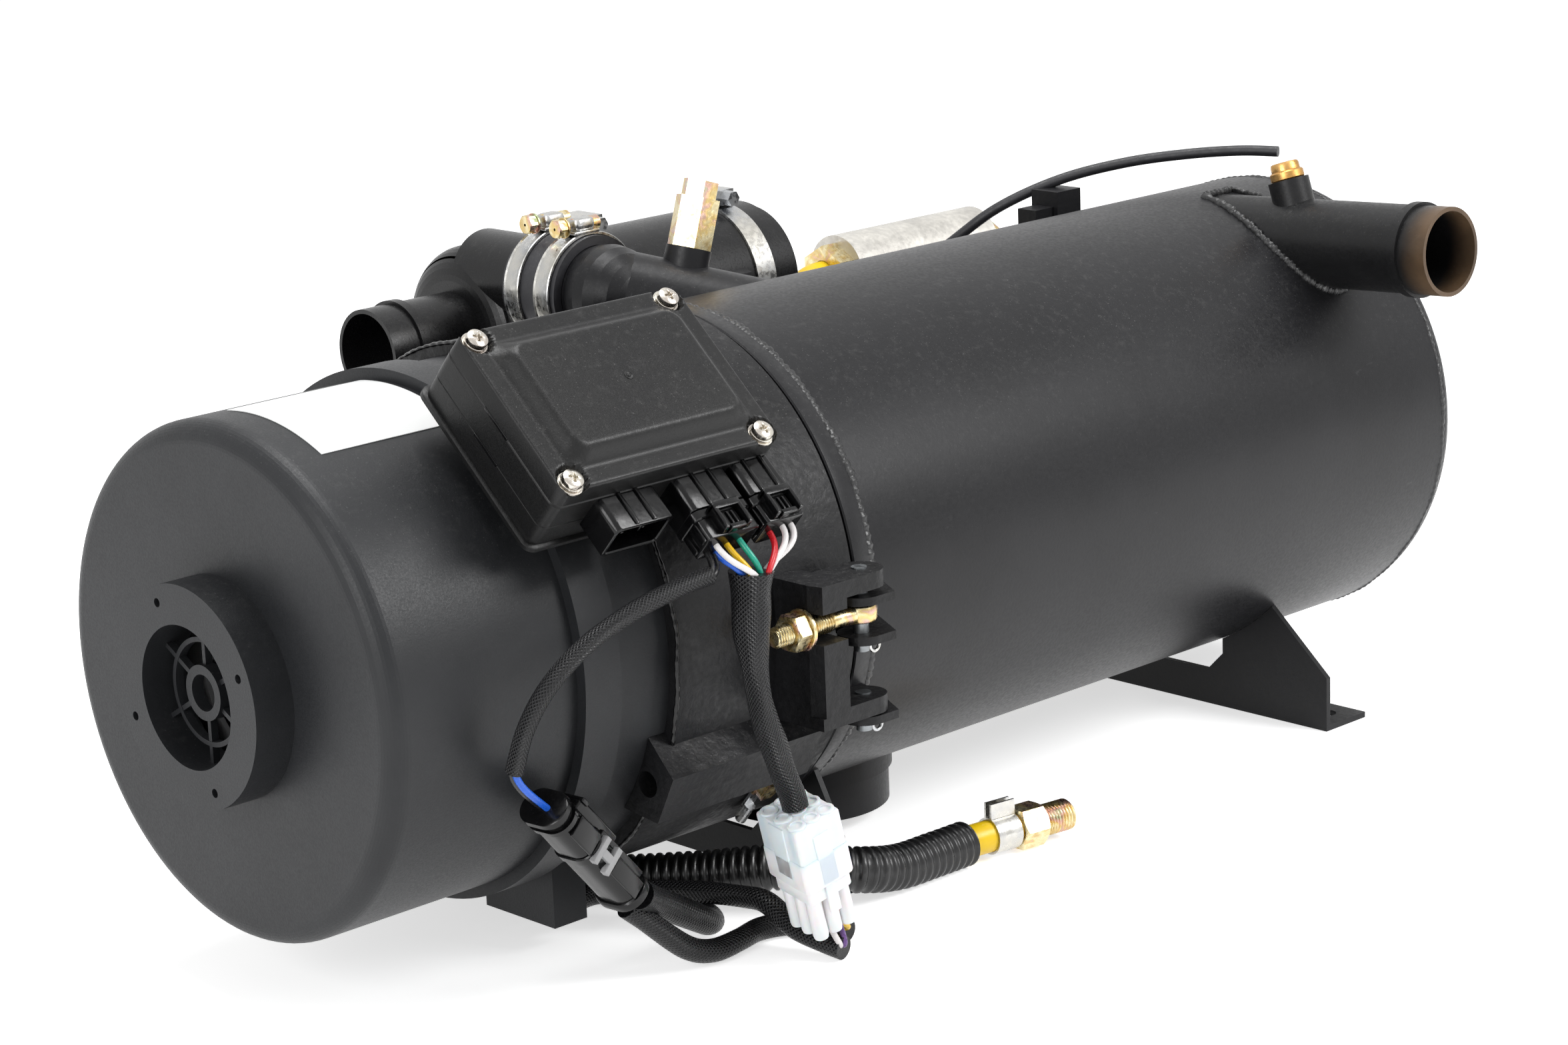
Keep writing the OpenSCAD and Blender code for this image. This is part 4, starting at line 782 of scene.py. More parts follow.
PUMP = Finish(
    "smooth_pump_plastic", "pump_plastic", "#0e0e0f", "#151516", 0.3, 0.1, specular=0.3, scale=900.0,
    bump=0.2, dust=0.1
)
SHINY = Finish(
    "glossy_connector_plastic", "connector_black", "#050506", "#0a0a0b", 0.18, 0.1, specular=0.32,
    scale=600.0, bump=0.1, dust=0.04
)
MILKY = Finish(
    "milky_nylon", "connector_white", "#f2f0f0", "#e7e4e8", 0.34, 0.1, scale=300.0, bump=0.1,
    subsurface=0.35
)
CLIP = Finish("grey_lock_plastic", "grey_plastic", "#9c9c9d", "#878788", 0.45, 0.1)
GREY = Finish("grey_rotor_plastic", "grey_plastic", "#8f8f90", "#7d7d7f", 0.5, 0.1)
RUBBER = Finish(
    "black_rubber", "rubber_black", "#1d1d20", "#2a2a2e", 0.5, 0.14, scale=500.0, bump=0.3, dust=0.3,
    scuff=0.1
)
# For the braided sleeves the tint is painted shade, the near-black colour of the grooves between strands.
SLEEVE = Finish(
    "wide_braid", "sleeve_braid", "#1e1e20", "#040405", 0.3, 0.1, specular=0.3, pattern=Pattern.BRAID,
    bump=0.9, depth=0.0006, around=22.0
)
SLEEVE_THIN = Finish(
    "thin_braid", "sleeve_braid", "#1c1c1e", "#040405", 0.3, 0.1, specular=0.3, pattern=Pattern.BRAID,
    bump=0.9, depth=0.0005, around=14.0
)
RIBBED = Finish(
    "ribbed_conduit_plastic", "conduit_black", "#121213", "#1b1b1c", 0.32, 0.1, scale=500.0, bump=0.15,
    dust=0.12
)
FUEL = Finish("yellow_fuel_tube", "tube_yellow", "#efc90a", "#e3b806", 0.35, 0.1, scale=300.0, bump=0.1)
BOARD = Finish("coated_board", "board_green", "#2f6b3a", "#27592f", 0.4)
LABEL = Finish("blank_label_film", "label_white", "#f0f1f0", "#e6e8e8", 0.32, 0.06, scale=200.0, bump=0.05)
WIRE_COLORS = {
    "white": ("#e9e6e4", "#dcd8d8"),
    "yellow": ("#efc40f", "#e0b20a"),
    "teal": ("#18a58c", "#139079"),
    "red": ("#cf1f2c", "#b81822"),
    "blue": ("#1b62d8", "#164fb0"),
    "black": ("#131314", "#1b1b1c"),
    "violet": ("#5b3a78", "#6d4a8c"),
}
WIRES = {k: Finish(k + "_wire", "wire_mixed", *pair, 0.3) for k, pair in WIRE_COLORS.items()}

CARRIED = {
    PAINT: "hx_jacket hx_rear_cap front_foot rear_foot pump_bracket exhaust_stub tube_clip inlet_pipe",
    PIPE: "outlet_pipe",
    CAST: "clamp_ears burner_housing",
    STEEL: "hx_inner hinge_pins",
    HEATED: "combustion_tube burner_nozzle",
    YELLOW_ZINC: "ground_screw valve_nuts bleed_body bleed_screw",
    CLEAR_ZINC: "cotter_pins pump_bands tube_clamp ring_terminal",
    SILVER: "fuel_valve",
    HEAD: "cap intake_ring blower_housing",
    PUMP: "pump_volute pump_stub pump_motor blower_motor",
    GREY: "pump_impeller blower_impeller",
    RUBBER: "gasket",
    BOARD: "ecu_board",
    LABEL: "label_plate",
}


class Workshop:
    """Turns surfaces into finished pieces and remembers the materials."""

    def __init__(self) -> None:
        """Builds the shared effects."""
        self.fx = Effects()
        self.made: dict = {}

    def material(self, finish: Finish) -> bpy.types.Material:
        """The finish's material, built at its first use."""
        if finish.title not in self.made:
            self.made[finish.title] = finish.make(self.fx)
        return self.made[finish.title]

    def piece(
        self,
        name: str,
        surface: Skin,
        finish: Finish,
        body: str = ROOT_BODY,
        replaces: Sequence[str] = (),
        sharp: float = 38.0,
    ) -> bpy.types.Object:
        """A finished object at the origin, with its place in its mesh.

        Args:
            name: the piece's name.
            surface: its surface in heater millimetres.
            finish: its finish.
            body: the body that it rides on.
            replaces: the CAD nodes that it stands for.
            sharp: the angle past which an edge stays sharp, in degrees.

        Returns:
            The object.
        """
        mesh = bpy.data.meshes.new(name)
        mesh.from_pydata(row(surface.verts).tolist(), [], surface.faces)
        layer = mesh.uv_layers.new(name="UVMap")
        layer.data.foreach_set("uv", surface.uv.astype(np.float32).ravel())
        work = bmesh.new()
        work.from_mesh(mesh)
        bmesh.ops.remove_doubles(work, verts=work.verts, dist=2e-6)
        bmesh.ops.dissolve_degenerate(work, edges=work.edges, dist=1e-7)
        bmesh.ops.recalc_face_normals(work, faces=work.faces)
        work.to_mesh(mesh)
        work.free()
        mesh.shade_smooth()
        mesh.set_sharp_from_angle(angle=math.radians(sharp))
        mesh.materials.append(self.material(finish))
        made = standing(name, mesh)
        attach(made, body)
        if replaces:
            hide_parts(*replaces)
        LOG.info("%s: %d faces", name, len(mesh.polygons))
        return made

    def dress(self) -> None:
        """Gives each CAD node that stays its material."""
        for finish, names in CARRIED.items():
            for name in names.split():
                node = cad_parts[name]
                if not node.material_slots:
                    node.data.materials.append(None)
                for place in node.material_slots:
                    place.material = self.material(finish)


# ---------------------------------------------------------------- sub-assemblies


@dataclass
class Exchanger:
    """Welds and the joint flange on the water jacket, its sensor, and the hose with its clamps."""

    radius: float = 100.0
    pipe_r: float = 19.0
    outlet_x: float = 325.0
    outlet_z: float = 80.0
    hose_x: float = 41.0
    hose_z: float = 91.5
    hose_r: float = 23.5
    hose_y: tuple = (85.3, 118.0)
    clamp_in: float = 7.0
    pipe_rise: float = 3.0
    boss_at: float = 58.0
    boss_lean: float = 18.0
    front_weld_x: float = 10.9
    rear_weld_x: float = 369.6

    def flange(self) -> Skin:
        """The joint flange: a low ring round the jacket's mouth with a rounded lip."""
        r = self.radius
        profile = [
            (r - 0.5, 0.3), (r + 2.0, 0.4), (r + 2.5, 1.0), (r + 2.5, 8.6), (r + 1.9, 9.4), (r - 0.5, 9.8),
            (r - 0.5, 0.31)
        ]
        return lathe(profile, 160, False, to_x)

    def ring_bead(self, x: float, r: float, seed: int, size: float) -> Skin:
        """A weld round the jacket at one place along it."""
        a = turns(900)
        wander = 0.35 * np.sin(9 * a + seed) + 0.25 * np.sin(31 * a)
        return bead(np.stack([x + wander, r * np.cos(a), r * np.sin(a)], -1), size, seed)

    def saddle_bead(self) -> Skin:
        """The weld where the outlet pipe meets the jacket: on the pipe's circle the height is
        fixed by the angle, and y is where a circle of the jacket's radius has that height."""
        a = turns(420)
        x = self.outlet_x + (self.pipe_r + 0.3) * np.cos(a)
        z0 = self.outlet_z + (self.pipe_r + 0.3) * np.sin(a)
        z = np.minimum(z0 + math.tan(math.radians(self.pipe_rise)) * 60, self.radius - 0.15)
        y = -np.sqrt(np.maximum((self.radius + 0.3) ** 2 - z**2, 0))
        return bead(np.stack([x, y, z], -1), 1.5, 5)

    def hose(self) -> Skin:
        """The coolant hose: a thick tube with a soft swell between its clamps."""
        y0, y1 = self.hose_y
        y = np.linspace(y0, y1, 40)
        pinch = sum(np.exp(-(((y - c) / 3.2) ** 2)) for c in (y0 + self.clamp_in, y1 - self.clamp_in))
        r = self.hose_r - 0.25 - 0.45 * pinch + 0.25 * np.sin((y - y0) / (y1 - y0) * math.pi)
        outer = np.stack([r, y], -1)
        inner = [(self.pipe_r + 0.3, y1), (self.pipe_r + 0.3, y0)]
        profile = np.concatenate([outer, inner, outer[:1]])
        return skin(to_y(revolve(profile, 72)) + (self.hose_x, 0, self.hose_z), caps=False)

    def sensor(self) -> tuple:
        """The temperature sensor in its boss: a brass body with a rolled rim, and the dark
        insulator with its pale pin inside the rim."""
        lean, out, far = math.radians(self.boss_lean), math.radians(self.pipe_rise), self.boss_at
        at = (self.outlet_x, -far * math.cos(out), self.outlet_z + far * math.sin(out))
        c, s = math.cos(lean), math.sin(lean)
        place = Place(at, (1, 0, 0), (0, c, -s), (0, s, c))
        rows = [
            (3.5, 12.5), (3.5, 28), (6.9, 28), (7.4, 28.6), (7.4, 31.4), (6.9, 32), (6.3, 32.2),
            (6.3, 34.6), (5.9, 35.6), (5.2, 35.9), (4.7, 35.5), (4.5, 33), (0.1, 32.8)
        ]
        core = revolve([(4.45, 32.9), (4.4, 34.2), (3.9, 34.7), (1.9, 34.8), (1.8, 34.4), (0.1, 34.4)], 40)
        pin = revolve([(1.3, 34.3), (1.3, 35.3), (0.9, 35.7), (0.1, 35.7)], 24)
        return tuple(skin(p).placed(place) for p in (revolve(rows, 56), core, pin))

    def clamp(self, y: float) -> tuple:
        """A worm-drive clamp on the hose: rolled-edge band, housing, and a slotted hexagon screw."""
        r = self.hose_r + 0.15
        rows = [
            (r, -4.6), (r + 0.9, -4.6), (r + 1.15, -4.2), (r + 0.7, -3.6), (r + 0.6, 3.6), (r + 1.15, 4.2),
            (r + 0.9, 4.6), (r, 4.6), (r, -4.59)
        ]
        band = lathe(rows, 120, False, to_y)
        top = self.hose_r + 0.6
        notch = []
        for k in range(1, 4):
            x, high = -8 - 1.9 * k, top + 1.0 - 0.14 * k * k
            notch.append(pad((x - 0.5, -2.6, top + 0.1), (x + 0.4, 2.6, high), 0.3, 0.1))
        house = [
            pad((-7.8, -4.9, top), (5.6, 4.9, top + 1.4), 0.6, 0.4),
            pad((-6.4, -4.2, top + 1), (4.4, 4.2, top + 6.4), 2.6, 1.8)
        ]
        screw = revolve([(0.1, -5.6), (3.0, -5.6), (3.1, -5.2), (3.1, 7.6), (2.6, 8.0), (0.1, 8.0)], 32)
        head = hex_nut(0.6, 4.2, 4.4)
        lip = revolve([(0.1, 0), (4.3, 0), (4.4, 0.4), (4.3, 0.8), (0.1, 0.8)], 40)
        zinc = joined([band, *house, *notch])
        at = np.array([0, 0, top + 3.2])
        gold = [
            skin(to_x(screw) + at), head.moved(lambda p: to_x(p) + at + (-14.9, 0, 0)),
            skin(to_x(lip) + at + (-10.6, 0, 0))
        ]
        put = Place((self.hose_x, y, self.hose_z))
        return zinc.placed(put), joined(gold).placed(put)

    def build(self, shop: Workshop) -> None:
        """Adds the pieces."""
        body, core, pin = self.sensor()
        shop.piece("sensor_body", body, BRASS, replaces=["temp_sensor"])
        shop.piece("sensor_insulator", core, SHINY)
        shop.piece("sensor_pin", pin, MILKY)
        clamps = [self.clamp(y) for y in (self.hose_y[0] + self.clamp_in, self.hose_y[1] - self.clamp_in)]
        shop.piece("hose_bands", joined([c[0] for c in clamps]), CLEAR_ZINC, replaces=["hose_clamps"])
        shop.piece("hose_screws", joined([c[1] for c in clamps]), YELLOW_ZINC)
        shop.piece("joint_flange", self.flange(), PAINT)
        shop.piece("joint_weld", self.ring_bead(self.front_weld_x, self.radius + 0.4, 3, 1.7), WELD)
        shop.piece("rear_weld", self.ring_bead(self.rear_weld_x, self.radius - 0.5, 8, 0.9), WELD)
        shop.piece("outlet_weld", self.saddle_bead(), WELD)
        shop.piece("rubber_hose", self.hose(), RUBBER, replaces=["coolant_hose"])


@dataclass
class SwingBolt:
    """An eye bolt with its nut and washer, lying along local -x from its pin."""

    place: Place
    bolt_body: str
    nut_body: str
    bolt_node: str
    nut_node: str
    r: float = 4.0
    length: float = 45.0
    neck: float = 17.0
    eye_r: float = 6.3
    eye_h: float = 7.0
    pin_r: float = 3.05
    nut_at: float = 29.7
    root: float = 4.6
    root_r: float = 3.9
    taper: float = 6.0
    pitch: float = 1.25
    bore: float = 4.05
    washer_r: float = 8.0
    washer_h: float = 1.6
    nut_corner: float = 7.5
    nut_h: float = 6.5

    def bolt(self) -> Skin:
        """Forged eye, drawn neck and a cut thread."""
        h, e, p = self.eye_h / 2, self.eye_r, self.pin_r
        side = [(e - 1.6, h), (e - 0.5, h - 0.6), (e, h - 1.8)]
        profile = [(p, -h), *((r, -z) for r, z in side), *side[::-1], (p, h), (p, -h + 0.01)]
        eye = lathe(profile, 48, False)
        s = np.linspace(self.root, self.neck, 16)
        drawn = eased(np.clip((s - self.root) / self.taper, 0, 1))
        neck = lathe(np.stack([self.root_r - 0.75 * drawn, -s], -1), 32, turn=to_x)
        rod = thread(self.r, self.neck - 0.3, self.length, self.pitch)
        rod = rod[..., [2, 1, 0]] * (-1, 1, 1)
        return joined([eye, neck, skin(rod)])

    def nut(self) -> Skin:
        """Chamfered hexagon and a flat washer."""
        b, r, h = self.bore, self.washer_r, self.washer_h
        rows = [(b, 0), (r - 0.3, 0), (r, 0.3), (r, h - 0.3), (r - 0.3, h), (b, h), (b, 0.01)]
        washer = lathe(rows, 56, False)
        nut = hex_nut(b, self.nut_corner, self.nut_h)

        def onto(at: float) -> Callable:
            """What lays a piece on the bolt so far from the pin."""
            return lambda p: to_x(p) * (-1, 1, 1) - (at, 0, 0)

        return joined([washer.moved(onto(self.nut_at)), nut.moved(onto(self.nut_at + h))])

    def build(self, shop: Workshop) -> None:
        """Adds the bolt and the nut on their bodies."""
        shop.piece(
            self.bolt_node + "_threaded", self.bolt().placed(self.place), YELLOW_ZINC, self.bolt_body,
            [self.bolt_node]
        )
        shop.piece(
            self.nut_node + "_chamfered", self.nut().placed(self.place), YELLOW_ZINC, self.nut_body,
            [self.nut_node]
        )


@dataclass
class BurnerHead:
    """The sealant line round the two housings."""

    seam_x: float = -92.0
    seam_r: float = 103.2

    def seal(self) -> Skin:
        """Sealant squeezed out of the housing joint: a ring that wanders and swells."""
        a = turns(720)
        x = self.seam_x + 0.35 * np.sin(13 * a) + 0.3 * np.sin(29 * a + 1)
        path = np.stack([x, self.seam_r * np.cos(a), self.seam_r * np.sin(a)], -1)
        return bead(path, 0.75, 11)

    def build(self, shop: Workshop) -> None:
        """Adds the sealant."""
        shop.piece("housing_sealant", self.seal(), SHINY, HEAD_BODY)


@dataclass
class ControlUnit:
    """The control unit's lid, tray, sockets, plugs and screws, in its own tilted frame."""

    tilt: float = 42.3
    x: float = -102.6
    lift: float = 104.5
    half_l: float = 51.75
    half_w: float = 36.5
    tray_h: float = 24.0
    lid_h: float = 9.0
    hump_h: float = 6.0
    fillet: float = 1.2
    screw: tuple = (45.0, 32.0)
    sockets: tuple = ((-18.5, 27.0), (16.0, 25.0), (41.0, 19.0))
    sock_z: float = 15.36
    sock_h: float = 16.0
    sock_l: float = 14.0
    wall: float = 1.8
    place: Place = field(init=False)

    def __post_init__(self) -> None:
        """Works out the tilted frame."""
        c, s = math.cos(math.radians(self.tilt)), math.sin(math.radians(self.tilt))
        z = np.array([0.0, -s, c])
        self.place = Place(tuple(np.array([self.x, 0, 0]) + self.lift * z), (1, 0, 0), (0, c, s), tuple(z))

    def lid(self) -> Skin:
        """Rings drawn in step by step: skirt, rim fillet, flat step, an eased slope up the hump
        and its flat top; near each screw the height is cut down to the recess floor."""
        l, w, z0 = self.half_l, self.half_w, self.tray_h
        rim = z0 + self.lid_h
        f, top = self.fillet, rim + self.hump_h
        rows = [(z0 + 0.1, 0.5, 3.6), (z0 + 0.5, 0, 4.0), (rim - f, 0.15, 4.0)]
        rows += [(rim - f + f * math.sin(t), 0.15 + f * (1 - math.cos(t)), 4.0) for t in (0.5, 1.0, 1.5)]
        rows += [(rim + 0.02 * k, i, 4.2) for k, i in enumerate(np.linspace(2.0, 6.4, 8))]
        for t in np.linspace(0, 1, 16):
            rise = (self.hump_h - 0.4) * eased(t)
            rows.append((rim + 0.15 + rise, 6.8 + 7.6 * t, 4.4 + 2.2 * math.sin(math.pi * t)))
        rows += [(top - 0.18, 15.5, 4.2), (top - 0.1, 18, 4), (top - 0.05, 24, 3)]
        rows += [(top, 30, 2), (top, 35.6, 0.6)]
        grid = rounded(stepped(l, w, rows), 10, 64)
        d = np.hypot(np.abs(grid[..., 0]) - self.screw[0], np.abs(grid[..., 1]) - self.screw[1])
        cut = eased(np.clip((6.3 - d) / 0.9, 0, 1))
        floor = rim - 3
        grid[..., 2] = np.where(grid[..., 2] > floor, grid[..., 2] * (1 - cut) + floor * cut, grid[..., 2])
        rows = [(0.02, 0.35), (0.5, 0.3), (0.7, 0.05), (1.3, 0.05), (1.5, 0.28), (1.8, 0.2), (1.9, -0.3)]
        return joined([skin(grid), skin(revolve(rows, 24) + (0, 0, top))])

    def tray(self) -> Skin:
        """Base lip, waisted walls, and a shadow groove under the lid."""
        l, w = self.half_l, self.half_w
        top = self.tray_h
        rows = [(0, -0.6, 4.2), (0.3, -1.2, 4.6), (1.9, -1.2, 4.6), (2.2, -0.9, 4.4), (2.4, 0.5, 3.8)]
        rows += [(3.0, 0.4, 4), (11.8, 0.2, 4), (12.0, 0.45, 3.8), (12.3, 0.45, 3.8), (12.5, 0.15, 4)]
        rows += [(top - 0.6, 0, 4), (top - 0.2, 0.5, 3.6), (top + 0.3, 0.7, 3.6)]
        return skin(rounded(stepped(l, w, rows), 8, 6))

    def slots(self) -> Skin:
        """Painted shade: two thin glossy black strips on the end wall, at the seam and lower down, standing
        in for the shade in slits there.
        """
        at, lows = -self.half_l, ((-5, 23.4), (-7, 11.4))
        return joined([pad((at - 0.15, y, z), (at + 1, y + 15, z + 1.3), 0.3, 0.1) for y, z in lows])

    def socket(self, at: float, width: float) -> Skin:
        """A shroud: a rounded tube along -y with an end wall inside, two rails and two pins."""
        h, o, r = self.sock_h / 2, width / 2, 2.6
        y0, y1 = -self.half_w + 1, -self.half_w - self.sock_l
        z, t = self.sock_z, self.wall
        rows = [(y0, 0, r), (y1 + 0.5, 0, r), (y1 + 0.15, 0.15, r), (y1, 0.5, r - 0.4)]
        rows += [(y1, t - 0.4, r - 1), (y1 + 0.5, t, r - 1.2), (y0 - 3, t, r - 1.2)]
        parts = [skin(rounded(stepped(o, h, rows), 6, 3)[..., [0, 2, 1]] + (at, 0, z))]
        for x in (at - 4.6, at + 3.4):
            parts.append(pad((x, y1 + 0.3, z + h - 0.6), (x + 1.6, y0, z + h + 0.9), 0.5, 0.4))
        for x in (at - 5, at + 5):
            parts.append(pad((x - 0.6, y1 + 3, z - 0.6), (x + 0.6, y0, z + 0.6), 0.2, 0.2))
        parts.append(pad((at - 0.5, y1 + 1, z + h - 6), (at + 0.5, y0, z + h - t + 0.2), 0.2, 0.2))
        return joined(parts)

    def plug(self, at: float, width: float) -> Skin:
        """A plug: shouldered collar, narrower body, a latch frame with its tongue, and side ribs."""
        o, z = width / 2 + 1, self.sock_z
        y0 = -self.half_w - self.sock_l - 0.2
        y1 = y0 - 12
        collar = [(y0, 0.5, 3), (y0 - 0.3, 0, 3.2), (y0 - 3.2, 0, 3.2), (y0 - 3.6, 0.4, 3)]
        shank = [(y0 - 3.8, 0, 1.6), (y1 + 0.5, 0, 1.6), (y1 + 0.1, 0.3, 1.4), (y1, 0.7, 1.2)]
        rows = stepped(o, 7.5, collar) + stepped(o - 1.4, 6.4, shank)
        parts = [skin(rounded(rows, 6, 3)[..., [0, 2, 1]] + (at, 0, z))]
        for x in (-6.4, 4.6):
            parts.append(pad((at + x, y1 + 0.6, z + 5.8), (at + x + 1.8, y0 - 0.2, z + 10.8), 0.4, 0.5))
        parts.append(pad((at - 6.4, y0 - 3.4, z + 6), (at + 6.4, y0 - 0.2, z + 10.9), 1.2, 0.6))
        parts.append(pad((at - 3.6, y1 + 0.3, z + 5.8), (at + 3.6, y0 - 3, z + 8.6), 0.4, 0.4))
        for x in (-1.6, 0.6):
            parts.append(pad((at + x, y1 + 2.2, z + 8.2), (at + x + 1.0, y0 - 4.5, z + 9.6), 0.3, 0.3))
        parts.append(pad((at - 3.6, y1 + 0.1, z + 7.4), (at + 3.6, y1 + 2.0, z + 10.0), 0.4, 0.4))
        for x in (at - o + 1.2, at + o - 1.2):
            for low in (z - 4.6, z + 1.6):
                parts.append(pad((x - 0.9, y1 + 0.8, low), (x + 0.9, y0 - 3.4, low + 3), 0.4, 0.4))
        return joined(parts)

    def screws(self) -> Skin:
        """Cross-recessed pan heads with a split and a flat washer; the cross is cut where the
        height under either arm falls towards the middle."""
        base = self.tray_h + self.lid_h - 3
        flat = [(2.2, 0), (4.8, 0), (5, 0.2), (5, 0.8), (4.8, 1.0), (2.2, 1.0), (2.2, 0.01)]
        split = [(2.2, 1.0), (4.1, 1.05), (4.3, 1.3), (4.3, 1.8), (4.1, 2.0), (2.2, 2.05), (2.2, 1.01)]
        rad = np.concatenate([np.linspace(0.01, 2.6, 14), np.linspace(2.75, 3.9, 8), [4.0, 4.0, 3.8]])
        top = 4.75 - 0.9 * (np.minimum(rad, 4) / 4) ** 3.2
        top[-3:] = [3.5, 2.4, 2.1]
        parts = []
        for sx in (-1, 1):
            for sy in (-1, 1):
                at = np.array([sx * self.screw[0], sy * self.screw[1], base])
                head = revolve(np.stack([rad, top], -1), 64)
                c, s = math.cos(0.5 + sx), math.sin(0.5 + sx)
                u, v = head[..., 0] * c + head[..., 1] * s, head[..., 1] * c - head[..., 0] * s
                arm = np.minimum(np.abs(u), np.abs(v))
                reach = np.hypot(u, v)
                depth = 1.5 * np.clip((0.55 - arm) / 0.25, 0, 1) * np.clip((2.3 - reach) / 0.8, 0, 1)
                head[..., 2] -= depth
                parts += [skin(revolve(rows, 40) + at, caps=False) for rows in (flat, split)]
                parts.append(skin(head + at))
        return joined(parts)

    def build(self, shop: Workshop) -> None:
        """Adds the control unit's pieces on the burner head."""
        sockets = joined([self.socket(*s) for s in self.sockets])
        middle, right = (self.plug(*s) for s in self.sockets[1:])
        for name, surface, finish, nodes, *sharp in (
            ("control_lid", self.lid(), ECU, ["ecu_lid"], 50),
            ("control_tray", self.tray(), ECU, ["ecu_tray"]),
            ("control_sockets", sockets, SHINY, []),
            # The slit strips are painted shade: glossy black slivers on the end wall where the gaps would
            # be shaded.
            ("painted_slit_shade", self.slots(), SHINY, []),
            ("middle_plug", middle, SHINY, ["plug_mid"]),
            ("right_plug", right, SHINY, ["plug_right"]),
            ("lid_screws", self.screws(), SCREW_ZINC, ["ecu_screws"], 30),
        ):
            shop.piece(name, surface.placed(self.place), finish, HEAD_BODY, nodes, *sharp)


